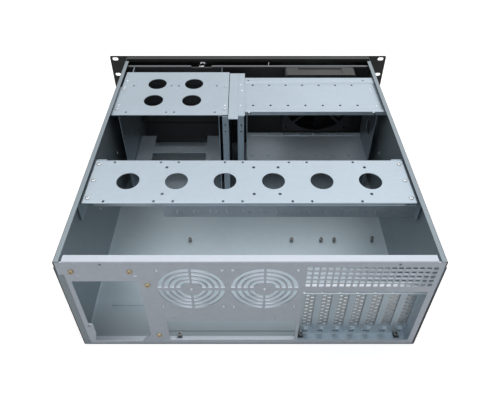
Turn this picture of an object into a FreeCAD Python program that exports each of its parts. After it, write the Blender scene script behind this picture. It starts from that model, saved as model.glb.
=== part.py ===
import FreeCAD, Part
import math
import os

# Empty 4U rackmount server case, lid off.
# Millimetres. X runs across the case, -Y is the front, +Z is up.
# The origin is the middle of the underside of the sheet-metal body.

# ---------------------------------------------------------------- main sizes
RACK_WIDTH = 482.6          # across the two ears
PANEL_HEIGHT = 176.5        # front panel, four rack units less clearance
BODY_WIDTH = 426.0
BODY_DROP = 0.7             # top edge of the body below the top edge of the panel
BODY_HEIGHT = PANEL_HEIGHT - BODY_DROP      # without the lid
BODY_DEPTH = 430.0          # front of the panel to the rear face
PANEL_SHEET = 2.0           # front panel and ears
SHEET = 1.2                 # body, rear panel, brace
THIN_SHEET = 1.0            # cages, trays, slot covers
BEND = 0.8                  # inside radius of the folds
FIT = 0.3                   # gap between pieces that only lie side by side

FRONT = -BODY_DEPTH / 2
REAR = BODY_DEPTH / 2
HALF_BODY = BODY_WIDTH / 2
BODY_FRONT = FRONT + PANEL_SHEET
WALL_INNER = HALF_BODY - SHEET

# ---------------------------------------------------------------- body
LID_SHEET = 1.2             # the walls step in by this much for the lid
LID_STEP_HEIGHT = 10.0
SIDE_FLANGE = 6.5           # flange along the top of each side wall
SIDE_FLANGE_START = 15.0    # it begins this far behind the panel
CORNER_FLANGE_WIDTH = 8.4   # upright flange at the rear of the left wall
CORNER_FLANGE_HEIGHT = 152.0
PAD_HEIGHT = 1.5            # raised pad of the floor under the power supply
PAD_LENGTH = 92.0
PAD_WIDTH = 69.0
BEAD_WIDTH = 5.0            # stiffening bead across the floor
BEAD_SETBACK = 17.0         # from the rear face to the bead
BEAD_LENGTH = 300.0
RAIL_HOLE_RADIUS = 2.2      # holes for slide rails in the side walls
RAIL_HOLE_SPACING = 120.0
RAIL_HOLE_HEIGHT = 88.0

STEP_FACE = HALF_BODY - LID_SHEET           # outer face above the step
STEP_INNER = STEP_FACE - SHEET
STEP_Z = BODY_HEIGHT - LID_STEP_HEIGHT
UNDER_FLANGE = BODY_HEIGHT - SHEET

# ---------------------------------------------------------------- rear panel
REAR_FLANGE = 8.7           # flange along the top of the rear panel
REAR_FLANGE_HALF = 202.3
REAR_FOOT = 9.6             # flange on the floor
REAR_FOOT_HALF = 200.0
REAR_INNER = REAR - SHEET

PSU_CENTRE_X = 161.6        # power supply, standing on its narrow side
PSU_TOP_Z = 139.9
PSU_SLIT_OFFSETS = (29.1, -34.7)            # two short slits above the power supply
PSU_SLIT_HALF = 2.2
PSU_SLIT_RISE = 8.7
PSU_SLIT_HEIGHT = 1.6
REAR_CORNER_DROP = 5.2      # corner holes below the top edge
PSU_WINDOW_WIDTH = 75.0
PSU_WINDOW_BOTTOM = 8.7
PSU_SCREW_X = 163.6         # middle of the two upper screws
PSU_SCREW_DROP = 18.2
PSU_SCREW_TOP_Z = BODY_HEIGHT - PSU_SCREW_DROP
PSU_SCREW_SPACING = 64.0
PSU_HOLE_OFFSETS = ((35.0, -114.0), (-39.0, -138.0))
PSU_HOLE_RADIUS = 2.0

IO_WIDTH = 158.75           # connector opening of the main board
IO_HEIGHT = 44.45
IO_CENTRE_X = 21.7
IO_BOTTOM = 11.3

FAN_SIZE = 80.0             # rear fan positions
FAN_SCREW_SPACING = 71.5
FAN_SCREW_RADIUS = 2.2
FAN_CENTRE_Z = 124.5
FAN_CENTRES_X = (66.2, -16.9)
RING_RADII = (15.0, 22.0, 29.0, 36.0)
RING_SLOT = 4.7
RING_SPOKE = 2.8            # upright spokes
RING_ARM = 5.2              # level spokes
RING_HUB_HOLE = 2.3

VENT_ROWS = 5
VENT_COLUMNS = 19
VENT_PITCH_X = 7.6
VENT_PITCH_Z = 7.75
VENT_HOLE_X = 5.5
VENT_HOLE_Z = 5.1
VENT_FIRST_X = -65.3
VENT_TOP_Z = 163.2

# ---------------------------------------------------------------- card slots
SLOT_COUNT = 7
SLOT_PITCH = 20.32
SLOT_FIRST_X = -73.4
SLOT_WIDTH = 12.4
SLOT_BOTTOM = 21.0
SLOT_TOP = 108.0
SLOT_PLANE_SETBACK = 13.0   # from the rear face to the slotted wall
WINDOW_TOP = 118.5
WINDOW_BOTTOM = 10.5
WINDOW_MARGIN = 9.0         # window edge beyond the outer slot centres
COVER_WIDTH = 18.4
COVER_LEDGE_Z = 112.5
COVER_TONGUE_WIDTH = 9.6
COVER_HOLE_ROWS = 11
COVER_HOLE_PITCH = 7.4
COVER_HOLE_X = 3.9
COVER_HOLE_Z = 2.6

# ---------------------------------------------------------------- main board
BOARD_COLUMNS_X = (90.5, -67.0, -191.4)
BOARD_EXTRA_X = (-112.7, -133.0)
BOARD_REAR_SETBACK = 10.2   # rear row of standoffs from the rear face
BOARD_ROW_STEPS = (0.0, 154.94, 227.33)
STANDOFF_HEIGHT = 6.5
STANDOFF_RADIUS = 2.8
TALL_STANDOFF_HEIGHT = 9.0

# ---------------------------------------------------------------- brace
TOP_DROP = 4.0              # room for the lid over the brace, the bay cage and the tray
TOP_LEVEL = BODY_HEIGHT - TOP_DROP          # top of the brace, the bay cage and the tray
BRACE_SETBACK = 88.0
BRACE_REAR = REAR - BRACE_SETBACK
BRACE_WIDTH = 77.5
BRACE_HALF = 203.3
BRACE_LIP = 6.0
BRACE_HOLES = 6
BRACE_HOLE_PITCH = 61.7
BRACE_HOLE_RADIUS = 14.6
BRACE_SMALL_RADIUS = 1.7
BRACE_SCREW_INSET = 4.9
BRACE_SCREW_PITCH = 30.5
SHELF_INNER_X = 190.0
SHELF_LEG = 32.0
BIG_HOLE_RADIUS = 14.8      # round holes of the bay cage's top

COMB_LEFT = 105.5
COMB_RIGHT = -203.0
COMB_DROP = 3.8             # top edge of the comb below the brace
COMB_TOP = TOP_LEVEL - COMB_DROP
COMB_HEIGHT = 21.5
COMB_SLITS = 15
COMB_SLIT_FIRST_X = 88.7
COMB_SLIT_WIDTH = 1.4
COMB_SLIT_HEIGHT = 9.5
COMB_HOLE_RADIUS = 1.5

# ---------------------------------------------------------------- bulkhead
BULKHEAD_SETBACK = 26.8
BULKHEAD_FRONT = FRONT + BULKHEAD_SETBACK
BULKHEAD_DROP = 0.2         # top of the inner front wall below the cage
BULKHEAD_TOP = TOP_LEVEL - BULKHEAD_DROP
BULKHEAD_LIP = 4.0
BULKHEAD_FOOT = 12.0
LOCK_NOTCH_HALF = 17.5

# ---------------------------------------------------------------- drive bays
BAY_WIDTH = 148.6           # clear width between the walls of the bay cage
BAY_CENTRE_X = 119.3
BAY_COUNT = 3
BAY_HEIGHT = 41.3           # one 5.25 inch bay
CAGE_SETBACK = 46.6
CAGE_FRONT = FRONT + CAGE_SETBACK
CAGE_CORNER_LENGTH = 44.4   # cut-back corner of the cage top beside the side wall
CAGE_LENGTH = 118.9
CAGE_REAR = CAGE_FRONT + CAGE_LENGTH
SHELF_WIDTH = 28.0
SHELF_SETBACK = 15.9
SHELF_FRONT = CAGE_FRONT + SHELF_SETBACK
SHELF_LENGTH = 82.5
SHELF_REAR = SHELF_FRONT + SHELF_LENGTH
SHELF_BAR_SETBACK = 28.5
SHELF_BAR_FRONT = SHELF_FRONT + SHELF_BAR_SETBACK
SHELF_BAR_WIDTH = 17.0

CHANNEL_LEFT = 30.3         # wire channel between the two cages
CHANNEL_RIGHT = 15.9
POST_WIDTH = 10.0
POST_OVERHANG = 2.5
POST_REAR = CAGE_REAR + POST_OVERHANG
CHANNEL_SETBACK = 3.4
CHANNEL_FRONT = CAGE_FRONT + CHANNEL_SETBACK
STRIP_OVERHANG = 7.0
STRIP_REAR = POST_REAR + STRIP_OVERHANG

TRAY_GAP = 102.0            # a 3.5 inch drive on its side fits between
TRAY_LEFT = 5.2
TRAY_RIGHT = -209.6
TRAY_SETBACK = 17.1
TRAY_FRONT = CAGE_FRONT + TRAY_SETBACK
TRAY_LENGTH = 92.0
TRAY_REAR = TRAY_FRONT + TRAY_LENGTH
TRAY_LIP = 7.0
TRAY_SLOTS = 7
TRAY_SLOT_PITCH = 26.8
TRAY_SLOT_FIRST_X = -7.2
TRAY_HOLE_SETBACK = 18.8
TRAY_HOLE_FRONT = TRAY_FRONT + TRAY_HOLE_SETBACK
TRAY_HOLE_SPACING = 55.7
TRAY_HOLE_REAR = TRAY_HOLE_FRONT + TRAY_HOLE_SPACING
TRAY_HOLE_RADIUS = 1.8
LOWER_TRAY_SETBACK = 14.3
LOWER_TRAY_FRONT = TRAY_FRONT + LOWER_TRAY_SETBACK
LOWER_TRAY_LENGTH = 72.0
LOWER_TRAY_REAR = LOWER_TRAY_FRONT + LOWER_TRAY_LENGTH
DRIVE_CAGE_LEFT = 2.8
DRIVE_CAGE_RIGHT = -198.0
OVAL_SETBACK = 41.5
OVAL_CENTRE_Y = LOWER_TRAY_FRONT + OVAL_SETBACK
OVAL_CENTRE_Z = 113.0
OVAL_RADIUS = 12.0

# ---------------------------------------------------------------- front
EAR_SLOT_X = 232.55
EAR_SLOT_OFFSETS = (82.55, 50.8, -50.8, -82.55)
EAR_SLOT_LENGTH = 10.5
EAR_SLOT_HEIGHT = 7.0
PANEL_RETURN = 10.8         # top flange of the front panel
PANEL_LIP = 6.4

DOOR_LEFT = 196.0
DOOR_RIGHT = -36.0
DOOR_BOTTOM = 9.0
DOOR_DROP = 8.0
DOOR_TOP = PANEL_HEIGHT - DOOR_DROP
DOOR_SHEET = 1.5
DOOR_DEPTH = 8.0
DOOR_TOP_RIM = 4.0
DOOR_GAP = 0.8
DOOR_BOTTOM_GAP = 1.8
HINGE_INSET_Y = 2.5         # hinge axis behind the door's face
HINGE_INSET_Z = 2.5         # and above its lower edge
HINGE_PIN_RADIUS = 1.25
HINGE_RUNNING_GAP = 0.07

LOCK_X = 80.0
LOCK_DROP = 18.5            # middle of the lock below the top edge of the panel
LOCK_Z = PANEL_HEIGHT - LOCK_DROP
LOCK_RADIUS = 7.5
LOCK_FLANGE = 9.0
LOCK_NUT_RADIUS = 9.8
PLUG_RADIUS = 5.0
RUNNING_GAP = 0.08
CAM_LENGTH = 14.5
CAM_WIDTH = 9.0

HANDLE_X = 220.0
HANDLE_WIDTH = 9.0
HANDLE_DEPTH = 7.5
HANDLE_HALF = 50.0
HANDLE_REACH = 36.0
HANDLE_BEND = 6.0

INTAKE_CENTRE_X = -122.0
INTAKE_CENTRE_Z = 110.6
INTAKE_COLUMNS = 10
INTAKE_ROWS = 3
INTAKE_SLOT_WIDTH = 6.0
INTAKE_SLOT_HEIGHT = 33.0
INTAKE_PITCH_X = 11.2
INTAKE_PITCH_Z = 38.5

FRONT_FAN_SIZE = 120.0
FRONT_FAN_DEPTH = 25.0
FRONT_FAN_BORE = 57.5
FRONT_FAN_SCREWS = 105.0
FAN_HUB_RADIUS = 20.0
FAN_BLADES = 7

CONTROL_X = 23.1
POWER_BUTTON_Z = 142.0
POWER_BUTTON_RADIUS = 7.0
RESET_BUTTON_Z = 122.0
RESET_BUTTON_RADIUS = 3.5
BUTTON_TRAVEL = 1.5
BUTTON_PROUD = 3.0
BUTTON_GAP = 0.2


# ================================================================ helpers
def vec(x, y, z):
    return FreeCAD.Vector(x, y, z)


def block(x0, x1, y0, y1, z0, z1):
    """Box between two corners, given in any order."""
    low = vec(min(x0, x1), min(y0, y1), min(z0, z1))
    return Part.makeBox(abs(x1 - x0), abs(y1 - y0), abs(z1 - z0), low)


def rod(radius, start, end):
    """Round bar between two points."""
    axis = end - start
    return Part.makeCylinder(radius, axis.Length, start, axis)


def rounded_wire(points, radii, place):
    """Closed wire through 2D points; a corner with a radius becomes a tangent arc."""
    count = len(points)
    corners = []
    for i in range(count):
        here = points[i]
        radius = radii[i]
        if radius <= 0:
            corners.append((here, None, here))
            continue
        legs = []
        for other in (points[i - 1], points[(i + 1) % count]):
            du, dv = other[0] - here[0], other[1] - here[1]
            size = math.hypot(du, dv)
            legs.append((du / size, dv / size))
        (au, av), (bu, bv) = legs
        half = math.acos(max(-1.0, min(1.0, au * bu + av * bv))) / 2
        back = radius / math.tan(half)
        mu, mv = au + bu, av + bv
        size = math.hypot(mu, mv)
        reach = radius / math.sin(half)
        cu, cv = here[0] + mu / size * reach, here[1] + mv / size * reach
        mid = (cu - mu / size * radius, cv - mv / size * radius)
        start = (here[0] + au * back, here[1] + av * back)
        end = (here[0] + bu * back, here[1] + bv * back)
        corners.append((start, mid, end))
    edges = []
    for i in range(count):
        start, mid, end = corners[i]
        if mid is not None:
            edges.append(Part.Arc(place(*start), place(*mid), place(*end)).toShape())
        following = corners[(i + 1) % count][0]
        if math.hypot(following[0] - end[0], following[1] - end[1]) > 1e-6:
            edges.append(Part.LineSegment(place(*end), place(*following)).toShape())
    return Part.Wire(edges)


def sheet_outline(path, thickness, bend):
    """Closed outline of a folded strip: path is one face, the sheet lies on its left."""
    count = len(path)
    normals = []
    for i in range(count - 1):
        du, dv = path[i + 1][0] - path[i][0], path[i + 1][1] - path[i][1]
        size = math.hypot(du, dv)
        normals.append((-dv / size, du / size))
    inner = []
    inner_radii = []
    outer_radii = []
    for i in range(count):
        if i == 0 or i == count - 1:
            nu, nv = normals[0] if i == 0 else normals[-1]
            inner.append((path[i][0] + nu * thickness, path[i][1] + nv * thickness))
            inner_radii.append(0)
            outer_radii.append(0)
            continue
        (au, av), (bu, bv) = normals[i - 1], normals[i]
        scale = thickness / (1 + au * bu + av * bv)
        inner.append((path[i][0] + (au + bu) * scale, path[i][1] + (av + bv) * scale))
        turns_left = au * bv - av * bu > 0
        inner_radii.append(bend if turns_left else bend + thickness)
        outer_radii.append(bend + thickness if turns_left else bend)
    points = list(path) + inner[::-1]
    radii = outer_radii + inner_radii[::-1]
    return points, radii


def prism(points, radii, place, sweep):
    """Solid swept from a rounded outline."""
    return Part.Face(rounded_wire(points, radii, place)).extrude(sweep)


def folded_along_x(path, thickness, x0, x1, bend=BEND):
    """Folded sheet whose (y, z) section is swept from x0 to x1."""
    points, radii = sheet_outline(path, thickness, bend)
    return prism(points, radii, lambda u, v: vec(x0, u, v), vec(x1 - x0, 0, 0))


def folded_along_y(path, thickness, y0, y1, bend=BEND):
    """Folded sheet whose (x, z) section is swept from y0 to y1."""
    points, radii = sheet_outline(path, thickness, bend)
    return prism(points, radii, lambda u, v: vec(u, y0, v), vec(0, y1 - y0, 0))


def folded_along_z(path, thickness, z0, z1, bend=BEND):
    """Folded sheet whose (x, y) section is swept from z0 to z1."""
    points, radii = sheet_outline(path, thickness, bend)
    return prism(points, radii, lambda u, v: vec(u, v, z0), vec(0, 0, z1 - z0))


def plate_xz(points, radius, y0, y1):
    """Flat plate from an (x, z) outline with one corner radius."""
    return prism(points, [radius] * len(points), lambda u, v: vec(u, y0, v), vec(0, y1 - y0, 0))


def rect(u0, u1, v0, v1):
    return [(u0, v0), (u1, v0), (u1, v1), (u0, v1)]


def cut_all(shape, tools):
    """Cut a list of separate tools out of a shape."""
    return shape.cut(Part.makeCompound(tools)) if tools else shape


def fuse_all(shapes):
    """Fuse shapes that touch into one solid."""
    result = shapes[0].multiFuse(shapes[1:]) if len(shapes) > 1 else shapes[0]
    return result.removeSplitter()


def drill_z(x, y, radius, z0, z1):
    return rod(radius, vec(x, y, z0), vec(x, y, z1))


def drill_y(x, z, radius, y0, y1):
    return rod(radius, vec(x, y0, z), vec(x, y1, z))


def drill_x(y, z, radius, x0, x1):
    return rod(radius, vec(x0, y, z), vec(x1, y, z))


def turned(profile, seat, axis):
    """Solid of revolution from (radius, distance along the axis) points."""
    across = axis.cross(vec(0.3, 0.5, 0.8)).normalize()
    points = [seat + across * r + axis * t for r, t in profile]
    face = Part.Face(Part.makePolygon(points + [points[0]]))
    return face.revolve(seat, axis, 360)


def pan_screw(seat, axis, head_radius, head_height, shank_radius, shank_length):
    """Screw with a bevelled head: seat is the point under its head, axis points out of the head."""
    return turned([(0, head_height), (head_radius * 0.72, head_height), (head_radius, head_height * 0.45),
                   (head_radius, 0), (shank_radius, 0), (shank_radius, -shank_length), (0, -shank_length)], seat, axis)


# ================================================================ body
def chassis_body():
    """Floor and both side walls, folded from one sheet."""
    tip = STEP_FACE - SIDE_FLANGE
    step_low = STEP_Z - LID_SHEET
    half = [(tip, BODY_HEIGHT), (STEP_FACE, BODY_HEIGHT), (STEP_FACE, STEP_Z), (HALF_BODY, step_low), (HALF_BODY, 0)]
    left = [(-x, z) for x, z in half]
    path = left + half[::-1]
    points, radii = sheet_outline(path, SHEET, BEND)
    fine = SHEET * 0.25
    for i, (u, v) in enumerate(points):
        if abs(v - STEP_Z) < LID_SHEET + SHEET and abs(u) > tip:
            radii[i] = fine
    body = prism(points, radii, lambda u, v: vec(u, BODY_FRONT, v), vec(0, REAR - BODY_FRONT, 0))
    corner = block(HALF_BODY, HALF_BODY - CORNER_FLANGE_WIDTH, REAR_INNER, REAR, SHEET / 2, CORNER_FLANGE_HEIGHT)
    notch_tip = STEP_INNER
    cuts = []
    for side in (-1, 1):
        cuts.append(block(side * (tip - 1), side * notch_tip, BODY_FRONT - 1, BODY_FRONT + SIDE_FLANGE_START,
                          UNDER_FLANGE - 0.5, BODY_HEIGHT + 1))
        for i in (-1.5, -0.5, 0.5, 1.5):
            cuts.append(drill_x(i * RAIL_HOLE_SPACING, RAIL_HOLE_HEIGHT, RAIL_HOLE_RADIUS,
                                side * (WALL_INNER - 1), side * (HALF_BODY + 1)))
    # raised pad and bead, hollow underneath
    pad = (PSU_CENTRE_X - PAD_WIDTH / 2 - 6, PSU_CENTRE_X + PAD_WIDTH / 2 - 6)
    pad_front = REAR - 146.0
    raised = [plate_up(pad[0], pad[1], pad_front, pad_front + PAD_LENGTH, SHEET / 2, SHEET + PAD_HEIGHT, 5.0)]
    hollow = [plate_up(pad[0] + SHEET, pad[1] - SHEET, pad_front + SHEET, pad_front + PAD_LENGTH - SHEET,
                       -1.0, PAD_HEIGHT, 4.0)]
    bead_rear = REAR - BEAD_SETBACK
    raised.append(plate_up(-BEAD_LENGTH / 2 - 40, BEAD_LENGTH / 2 - 40, bead_rear - BEAD_WIDTH, bead_rear,
                           SHEET / 2, SHEET + 1.0, 2.0))
    hollow.append(plate_up(-BEAD_LENGTH / 2 - 38.8, BEAD_LENGTH / 2 - 41.2, bead_rear - BEAD_WIDTH + SHEET,
                           bead_rear - SHEET, -1.0, 1.0, 1.2))
    return cut_all(fuse_all([body, corner] + raised), cuts + hollow)


def plate_up(x0, x1, y0, y1, z0, z1, radius):
    """Flat rounded pad between two levels."""
    return prism(rect(x0, x1, y0, y1), [radius] * 4, lambda u, v: vec(u, v, z0), vec(0, 0, z1 - z0))


# ================================================================ rear panel
def ring_slots(centre_x, centre_z, y0, y1):
    """Concentric slots of one fan grille, broken by a cross of spokes."""
    tools = []
    for radius in RING_RADII:
        outer = rod(radius + RING_SLOT / 2, vec(centre_x, y0, centre_z), vec(centre_x, y1, centre_z))
        inner = rod(radius - RING_SLOT / 2, vec(centre_x, y0, centre_z), vec(centre_x, y1, centre_z))
        ring = outer.cut(inner)
        reach = FAN_SIZE
        spoke = block(centre_x - RING_SPOKE / 2, centre_x + RING_SPOKE / 2, y0, y1, centre_z - reach, centre_z + reach)
        arm = block(centre_x - reach, centre_x + reach, y0, y1, centre_z - RING_ARM / 2, centre_z + RING_ARM / 2)
        tools += ring.cut(Part.makeCompound([spoke, arm])).Solids
    tools.append(drill_y(centre_x, centre_z, RING_HUB_HOLE, y0, y1))
    return tools


def psu_outline():
    """Power-supply window, with the corner left for its lower screw and the lug beside the other."""
    left = PSU_CENTRE_X + PSU_WINDOW_WIDTH / 2
    right = PSU_CENTRE_X - PSU_WINDOW_WIDTH / 2
    lug = left - 6.0
    low = PSU_WINDOW_BOTTOM
    return [(right, PSU_TOP_Z), (right, low + 17.8), (right + 11.5, low), (left - 2.0, low), (lug, low + 17.5),
            (lug, low + 38.8), (left - 0.8, low + 40.6), (left, PSU_TOP_Z)]


def window_edges():
    """Left and right edge of the card-slot window."""
    last = SLOT_FIRST_X - (SLOT_COUNT - 1) * SLOT_PITCH
    return SLOT_FIRST_X + WINDOW_MARGIN + 3.0, last - WINDOW_MARGIN + 1.0


def rear_panel():
    """Rear wall with its openings, a flange under the lid and one on the floor."""
    path = [(REAR - REAR_FLANGE, BODY_HEIGHT), (REAR, BODY_HEIGHT), (REAR, SHEET), (REAR - REAR_FOOT, SHEET)]
    half = STEP_INNER - FIT
    panel = folded_along_x(path[::-1], SHEET, -half, half)
    y0, y1 = REAR_INNER - 1, REAR + 1
    cuts = [block(side * REAR_FLANGE_HALF, side * (half + 1), REAR - REAR_FLANGE - 1, y1, UNDER_FLANGE - FIT,
                  BODY_HEIGHT + 1) for side in (-1, 1)]
    cuts += [block(side * REAR_FOOT_HALF, side * (half + 1), REAR - REAR_FOOT - 1, REAR_INNER - BEND, 0, SHEET * 3)
             for side in (-1, 1)]
    cuts.append(block(HALF_BODY - CORNER_FLANGE_WIDTH - FIT, half + 1, REAR_INNER - SHEET * 2, y1, 0,
                      CORNER_FLANGE_HEIGHT + FIT))
    cuts.append(plate_xz(psu_outline(), 0.8, y0, y1))
    io_left = IO_CENTRE_X + IO_WIDTH / 2
    cuts.append(plate_xz(rect(io_left - IO_WIDTH, io_left, IO_BOTTOM, IO_BOTTOM + IO_HEIGHT), 0.6, y0, y1))
    left, right = window_edges()
    cuts.append(plate_xz(rect(right, left, WINDOW_BOTTOM, WINDOW_TOP), 0.8, y0, y1))
    for row in range(VENT_ROWS):
        for column in range(VENT_COLUMNS):
            x = VENT_FIRST_X - column * VENT_PITCH_X
            z = VENT_TOP_Z - row * VENT_PITCH_Z
            cuts.append(block(x - VENT_HOLE_X / 2, x + VENT_HOLE_X / 2, y0, y1, z - VENT_HOLE_Z / 2, z + VENT_HOLE_Z / 2))
    reach = FAN_SCREW_SPACING / 2
    for centre in FAN_CENTRES_X:
        cuts += ring_slots(centre, FAN_CENTRE_Z, y0, y1)
        cuts += [drill_y(centre + i * reach, FAN_CENTRE_Z + j * reach, FAN_SCREW_RADIUS, y0, y1)
                 for i in (-1, 1) for j in (-1, 1)]
    for x, z in rear_screw_seats():
        cuts.append(drill_y(x, z, REAR_SCREW_SHANK + FIT / 2, y0, y1))
    for dx, dz in PSU_HOLE_OFFSETS:
        cuts.append(drill_y(PSU_SCREW_X + dx, PSU_SCREW_TOP_Z + dz, PSU_HOLE_RADIUS, y0, y1))
    slit_z = PSU_TOP_Z + PSU_SLIT_RISE
    for offset in PSU_SLIT_OFFSETS:
        x = PSU_CENTRE_X + offset
        cuts.append(block(x - PSU_SLIT_HALF, x + PSU_SLIT_HALF, y0, y1, slit_z, slit_z + PSU_SLIT_HEIGHT))
    for x in (PSU_CENTRE_X, -PSU_CENTRE_X):
        cuts.append(drill_y(x, BODY_HEIGHT - REAR_CORNER_DROP, 1.6, y0, y1))
    for x in (91.0, -27.7):
        cuts.append(drill_y(x, 63.3, 1.6, y0, y1))
    cuts += standoff_notches(0, 2 * SHEET + 1, REAR - REAR_FOOT - 1)
    return cut_all(panel, cuts)


REAR_SCREW_SHANK = 1.7
REAR_SCREW_HEAD = 3.4


def rear_screw_seats():
    """Screws of the rear panel: two above the window, two beside it."""
    beside = PSU_CENTRE_X - PSU_WINDOW_WIDTH / 2 - 9.3
    half = PSU_SCREW_SPACING / 2
    return [(PSU_SCREW_X + half, PSU_SCREW_TOP_Z), (PSU_SCREW_X - half, PSU_SCREW_TOP_Z),
            (beside, 132.4), (beside - 1.0, 22.6)]


def screw_group(seats, axis, head_radius, head_height, shank_radius, shank_length):
    """Several equal screws as one group of separate solids."""
    return Part.makeCompound([pan_screw(seat, axis, head_radius, head_height, shank_radius, shank_length)
                              for seat in seats])


def slot_frame():
    """Pan behind the card-slot window: slotted wall, side walls, ledge for the cover tabs."""
    left, right = window_edges()
    wall_y = REAR - SLOT_PLANE_SETBACK
    outer_left, outer_right = left + SHEET, right - SHEET
    top = COVER_LEDGE_Z + SHEET
    bottom = 2 * SHEET
    side_bottom = bottom + BEND + FIT
    wall = block(outer_right, outer_left, wall_y - SHEET, wall_y, bottom, top)
    sides = [block(outer_left - SHEET, outer_left, wall_y - SHEET, REAR_INNER, side_bottom, top),
             block(outer_right, outer_right + SHEET, wall_y - SHEET, REAR_INNER, side_bottom, top)]
    ledge = block(outer_right, outer_left, wall_y - SHEET, REAR_INNER, COVER_LEDGE_Z, top)
    tabs = []
    cuts = []
    for i in range(SLOT_COUNT):
        x = SLOT_FIRST_X - i * SLOT_PITCH
        cuts.append(block(x - SLOT_WIDTH / 2, x + SLOT_WIDTH / 2, wall_y - SHEET - 1, wall_y + 1, SLOT_BOTTOM, SLOT_TOP))
        cuts.append(block(x - 2.0, x + 7.0, wall_y - SHEET - 1, wall_y + 1, 7.4, 11.2))
        cuts.append(drill_z(x + 3.0, wall_y + 6.0, SLOT_SCREW_SHANK + FIT / 2, COVER_LEDGE_Z - 1, top + 1))
        tabs.append(block(x - 2.5, x + 2.5, wall_y - SHEET / 2, wall_y + 2.6, 16.4, 17.6))
    foot = block(outer_right, outer_left, wall_y - SHEET, REAR - 3.0, bottom, bottom + SHEET)
    cuts += standoff_notches(bottom - 1, bottom + SHEET + 1, wall_y)
    return cut_all(fuse_all([wall] + sides + [ledge, foot] + tabs), cuts)


def standoff_notches(z0, z1, y0):
    """Clearance in a foot flange for the rear row of standoffs."""
    reach = STANDOFF_RADIUS + 1.0
    y = board_rows()[0]
    return [block(x - reach, x + reach, y0, y + reach, z0, z1) for x in BOARD_COLUMNS_X]


SLOT_SCREW_SHANK = 1.6
SLOT_SCREW_HEAD = 3.6


def slot_cover(index):
    """One perforated blank: strip inside the slotted wall, tab on the ledge, tongue at the foot."""
    x = SLOT_FIRST_X - index * SLOT_PITCH
    back = REAR - SLOT_PLANE_SETBACK - SHEET - FIT
    front = back - THIN_SHEET
    tab_z = COVER_LEDGE_Z + SHEET
    path = [(back, 13.0), (back, tab_z), (REAR - 2.6, tab_z)]
    strip = folded_along_x(path, THIN_SHEET, x - COVER_WIDTH / 2, x + COVER_WIDTH / 2, 0.2)
    tongue = block(x - COVER_TONGUE_WIDTH / 2, x + COVER_TONGUE_WIDTH / 2, front, back, 4.6, 14.0)
    cuts = []
    middle = (SLOT_BOTTOM + SLOT_TOP) / 2
    for row in range(COVER_HOLE_ROWS):
        z = middle + (row - (COVER_HOLE_ROWS - 1) / 2) * COVER_HOLE_PITCH
        for side in (-1, 1):
            centre_x = x + side * 2.9
            centre_z = z + side * COVER_HOLE_PITCH / 4
            cuts.append(block(centre_x - COVER_HOLE_X / 2, centre_x + COVER_HOLE_X / 2, front - 1, back + 1,
                              centre_z - COVER_HOLE_Z / 2, centre_z + COVER_HOLE_Z / 2))
    cuts.append(drill_z(x + 3.0, REAR - SLOT_PLANE_SETBACK + 6.0, SLOT_SCREW_SHANK + FIT / 2, tab_z - 1,
                        tab_z + THIN_SHEET + 1))
    return cut_all(fuse_all([strip, tongue]), cuts)


def slot_screw_seats():
    z = COVER_LEDGE_Z + SHEET + THIN_SHEET
    return [vec(SLOT_FIRST_X - i * SLOT_PITCH + 3.0, REAR - SLOT_PLANE_SETBACK + 6.0, z) for i in range(SLOT_COUNT)]


# ================================================================ floor
def standoff(x, y, height):
    """Hexagonal post on the floor with a threaded hole in its top."""
    corners = [(x + STANDOFF_RADIUS * math.cos(math.radians(60 * i)),
                y + STANDOFF_RADIUS * math.sin(math.radians(60 * i))) for i in range(6)]
    post = prism(corners, [0] * 6, lambda u, v: vec(u, v, SHEET), vec(0, 0, height))
    return post.cut(drill_z(x, y, 1.4, SHEET + height - 4.0, SHEET + height + 1))


def board_rows():
    return [REAR - BOARD_REAR_SETBACK - step for step in BOARD_ROW_STEPS]


def board_standoffs():
    rows = board_rows()
    posts = []
    for row, y in enumerate(rows):
        for x in BOARD_COLUMNS_X:
            tall = row == 1 and x == BOARD_COLUMNS_X[-1]
            posts.append(standoff(x, y, TALL_STANDOFF_HEIGHT if tall else STANDOFF_HEIGHT))
    for x in BOARD_EXTRA_X:
        posts.append(standoff(x, rows[1], STANDOFF_HEIGHT))
    return Part.makeCompound(posts)


# ================================================================ brace
def brace_screw_points():
    middle = BRACE_REAR - BRACE_WIDTH / 2
    return [(side * (BRACE_HALF - BRACE_SCREW_INSET), middle + i * BRACE_SCREW_PITCH)
            for side in (-1, 1) for i in (-1, 0, 1)]


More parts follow.
